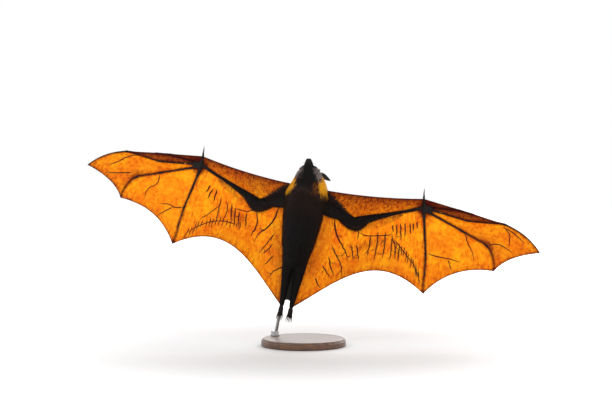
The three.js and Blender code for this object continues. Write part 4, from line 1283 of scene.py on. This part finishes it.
def eye_finish():
    f = Finish("eye")
    pupil = f.value("pupil")
    colour = f.blend(f.speckle(f.place(), 1500.0, 3.0), (0.035, 0.011, 0.004), (0.085, 0.028, 0.009))
    colour = f.blend(pupil, colour, (0.003, 0.002, 0.002))
    return f.solid(Base_Color=colour, Roughness=0.09, Specular_IOR_Level=0.35, Coat_Weight=0.2, Coat_Roughness=0.03)


def claw_finish():
    f = Finish("claw")
    long = f.speckle(f.place((1, 1, 0.2)), 1400.0, 3.0)
    colour = f.blend(long, (0.02, 0.014, 0.012), (0.07, 0.05, 0.04))
    return f.solid(Base_Color=colour, Roughness=long * 0.15 + 0.22, Normal=f.bump(long, 0.0001, 0.3))


def eye_ball(way):
    """An eyeball with a bulging front, its pupil marked."""
    centre, out, _, _ = eye_seat(way)
    mesh = ball(vec(0, 0, 0), vec(1, 1, 1), 40, 28)
    aim = Vector(out).to_track_quat("Z", "Y").to_matrix()
    p = spots(mesh)
    facing = p[:, 2]
    bulge = 1 + 0.05 * ease(0.8, 1, facing)
    mark(mesh, pupil=ease(0.86, 0.9, facing))
    turned = (p * upright(bulge)) @ np.array(aim).T
    return moved(mesh, lambda _: centre + turned * (EYE["radius"] - 0.7))


def claw_mesh(root, along, bend, length, hook, radius):
    """A claw that hooks over from along to bend."""
    middle = root + along * length * 0.6 - bend * hook * 0.12
    t = upright(np.linspace(0, 1, 12))
    line = Line((1 - t) ** 2 * root + 2 * t * (1 - t) * middle + t**2 * (root + along * length + bend * hook))
    return tube(line, lambda t: lerp(radius, 0.16, t**1.2), 12, 22, lambda t, a: 1 + 0.18 * np.cos(a) ** 2)


dark, hide = whole_skin()
where = spots(hide)
furred = np.arange(len(where)) < len(dark.vertices)
gold, silver, brown = (value * furred for value in markings(where))
mark(hide, gold=gold, silver=silver, brown=brown)
paired = ["ear", "upper_arm", "forearm", "wrist", "thumb", *[f"finger_{k}" for k in FINGERS], "leg", "foot"]
piece(
    "skin", moved(hide, placed), SKIN, "bare_skin",
    "trunk", "neck", "head", "nose", *[f"{name}_{hand}" for name in paired for hand in ("left", "right")],
)
FUR = coat_finish()
dress(dark, FUR)
fine_hairs(FUR)

EYES, CLAWS = eye_finish(), claw_finish()
BELLYWARDS = vec(0, -1, 0)
for way, hand in ((1, "left"), (-1, "right")):
    piece(f"eyeball_{hand}", mended(moved(eye_ball(way), placed)), EYES, "eye", f"eye_{hand}")
    flip = (lambda m: m) if way == 1 else flipped
    thumb_end = lerp(THUMB_JOINTS[2], THUMB_JOINTS[1], 0.12)
    thumb = claw_mesh(thumb_end, heading(1, 93, -20), BELLYWARDS, **THUMB_CLAW)
    piece(f"thumb_hook_{hand}", mended(moved(flip(thumb), placed)), CLAWS, "claw", f"thumb_claw_{hand}")
    small = []
    for i in range(FOOT["toes"]):
        spread, _, tip = toe(i)
        small.append(claw_mesh(tip + vec(0, 0, 1), unit(vec(0.05 * spread, 0, -1)), BELLYWARDS, **TOE_CLAW))
    end = FINGERS[2]["joints"][2]
    last_bone = unit(end - FINGERS[2]["joints"][1])
    small.append(claw_mesh(end - last_bone, last_bone, BELLYWARDS, **FINGER_CLAW))
    piece(f"claws_{hand}", mended(moved(flip(joined(small, "claws")), placed)), CLAWS, "claw")


def turned_solid(name, profile, steps):
    """A closed solid spun about its own upright axis from (radius, height) points."""
    bm = bmesh.new()
    verts = [bm.verts.new((r, 0, z)) for r, z in profile]
    edges = [bm.edges.new(pair) for pair in zip(verts, verts[1:])]
    around = dict(cent=(0, 0, 0), axis=(0, 0, 1), angle=2 * math.pi, steps=steps)
    bmesh.ops.spin(bm, geom=verts + edges, use_merge=True, **around)
    bmesh.ops.remove_doubles(bm, verts=bm.verts, dist=1e-5)
    bmesh.ops.recalc_face_normals(bm, faces=bm.faces)
    return meshed(bm, name)


def rounded(profile, turn=5):
    """A profile with each marked corner (radius, height, rounding) made round."""
    points = []
    for i, (r, z, soft) in enumerate(profile):
        if not soft:
            points.append((r, z))
            continue
        here, before, after = (np.array(profile[k][:2], float) for k in (i, i - 1, i + 1))
        a, b = here + unit(before - here) * soft, here + unit(after - here) * soft
        for t in np.linspace(0, 1, turn):
            points.append(tuple((1 - t) ** 2 * a + 2 * t * (1 - t) * here + t**2 * b))
    return points


EDGE, TALL, WIDE = BASE["edge"], BASE["height"], BASE["radius"]
plinth_edge = [
    (0, 0, 0), (WIDE - 2, 0, 1), (WIDE, 2, 1), (WIDE, TALL - 5.5, 0.6), (WIDE - 1.6, TALL - 5, 0.5),
    (WIDE - 1.8, TALL - 3.6, 0.5), (WIDE - EDGE - 1.5, TALL, 2), (0, TALL, 0),
]
plinth = turned_solid("plinth", rounded(plinth_edge), 144)
piece("plinth", moved(plinth, lambda p: p * MM), wood_finish(), "wood", "stand_base")
foot_of_rod, head_of_rod = placed(ROD["foot"]) / MM, placed(ROD["head"]) / MM
rod_line = Line([foot_of_rod, lerp(foot_of_rod, head_of_rod, 0.5), head_of_rod])
STEEL = steel_finish()
rod = tube(rod_line, lambda t: ROD["radius"] - 0.1 + 0 * t, 40, 30)
piece("rod", moved(rod, lambda p: p * MM), STEEL, "steel", "stand_rod")
seat = vec(foot_of_rod[0], foot_of_rod[1], 0)
bore = ROD["radius"] + 0.05
collar_edge = [
    (bore, TALL, 0), (10.8, TALL, 0.4), (10.8, TALL + 3, 0.8), (9.4, TALL + 4.2, 0.8), (9.2, TALL + 10.6, 1),
    (8, TALL + 11.7, 0.6), (ROD["radius"] + 0.6, TALL + 11.7, 0.3), (bore, TALL + 11.2, 0),
]
collar = turned_solid("collar", rounded(collar_edge), 72)
piece("collar", mended(moved(collar, lambda p: (p + seat) * MM)), STEEL, "steel", "stand_collar")

# ---------------------------------------------------------------- camera, light and floor

AIM, AZIMUTH, ELEVATION, DISTANCE = vec(0.006, 0, 0.335), math.radians(8.5), math.radians(3), 4.2
level = math.cos(ELEVATION)
away = Vector((math.sin(AZIMUTH) * level, -math.cos(AZIMUTH) * level, math.sin(ELEVATION)))
camera = bpy.data.objects.new("camera", bpy.data.cameras.new("camera"))
camera.data.lens, camera.data.sensor_width = 105, 36
camera.location = Vector(AIM) + away * DISTANCE
camera.rotation_euler = (-away).to_track_quat("-Z", "Y").to_euler()
camera.data.clip_end = 100
bpy.context.scene.collection.objects.link(camera)
bpy.context.scene.camera = camera
bpy.context.scene.view_settings.view_transform = "Standard"

world = bpy.data.worlds.new("studio")
bpy.context.scene.world = world
world.use_nodes = True
background = world.node_tree.nodes["Background"]
background.inputs["Color"].default_value = (1, 1, 1, 1)
background.inputs["Strength"].default_value = 1.0


def lamp(name, at, aim, size, power):
    """A soft rectangular light."""
    light = bpy.data.lights.new(name, "AREA")
    light.shape, light.size, light.size_y, light.energy = "RECTANGLE", size[0], size[1], power
    made = bpy.data.objects.new(name, light)
    made.location = at
    made.rotation_euler = (Vector(aim) - Vector(at)).to_track_quat("-Z", "Y").to_euler()
    made.visible_camera = False
    bpy.context.scene.collection.objects.link(made)


lamp("lamp_behind", (0.3, 2.6, 1.9), (0, 0, 0.35), (3.0, 2.0), 60)
lamp("lamp_left", (-2.4, -2.2, 2.2), (0, 0, 0.35), (1.6, 1.6), 25)
lamp("lamp_right", (2.6, -1.8, 1.6), (0, 0, 0.35), (1.6, 1.6), 18)

bm = bmesh.new()
bmesh.ops.create_grid(bm, x_segments=1, y_segments=1, size=6)
ground = meshed(bm, "floor")
pale = Finish("pale_floor")
# Painted shade and painted light on the floor: darker within 0.2 m of its middle, under and around the stand, then
# paler and glowing out to 1.3 m, till it is as white as the backdrop.
far = pale.tone("VectorMath", {"operation": "LENGTH"}, "Value", Vector=pale.place()).above(0.2, 1.3)
grain = pale.speckle(pale.place(), 3.0)
paper_with_painted_shade = pale.blend(far, pale.blend(grain, (0.6, 0.6, 0.6), (0.64, 0.64, 0.64)), (0.9, 0.9, 0.9))
glow = pale.blend(far, (0.0, 0.0, 0.0), (0.5, 0.5, 0.5))
ground.materials.append(pale.solid(Base_Color=paper_with_painted_shade, Roughness=0.8, Emission_Color=glow, Emission_Strength=1.0))
floor = bpy.data.objects.new("floor", ground)
bpy.context.scene.collection.objects.link(floor)
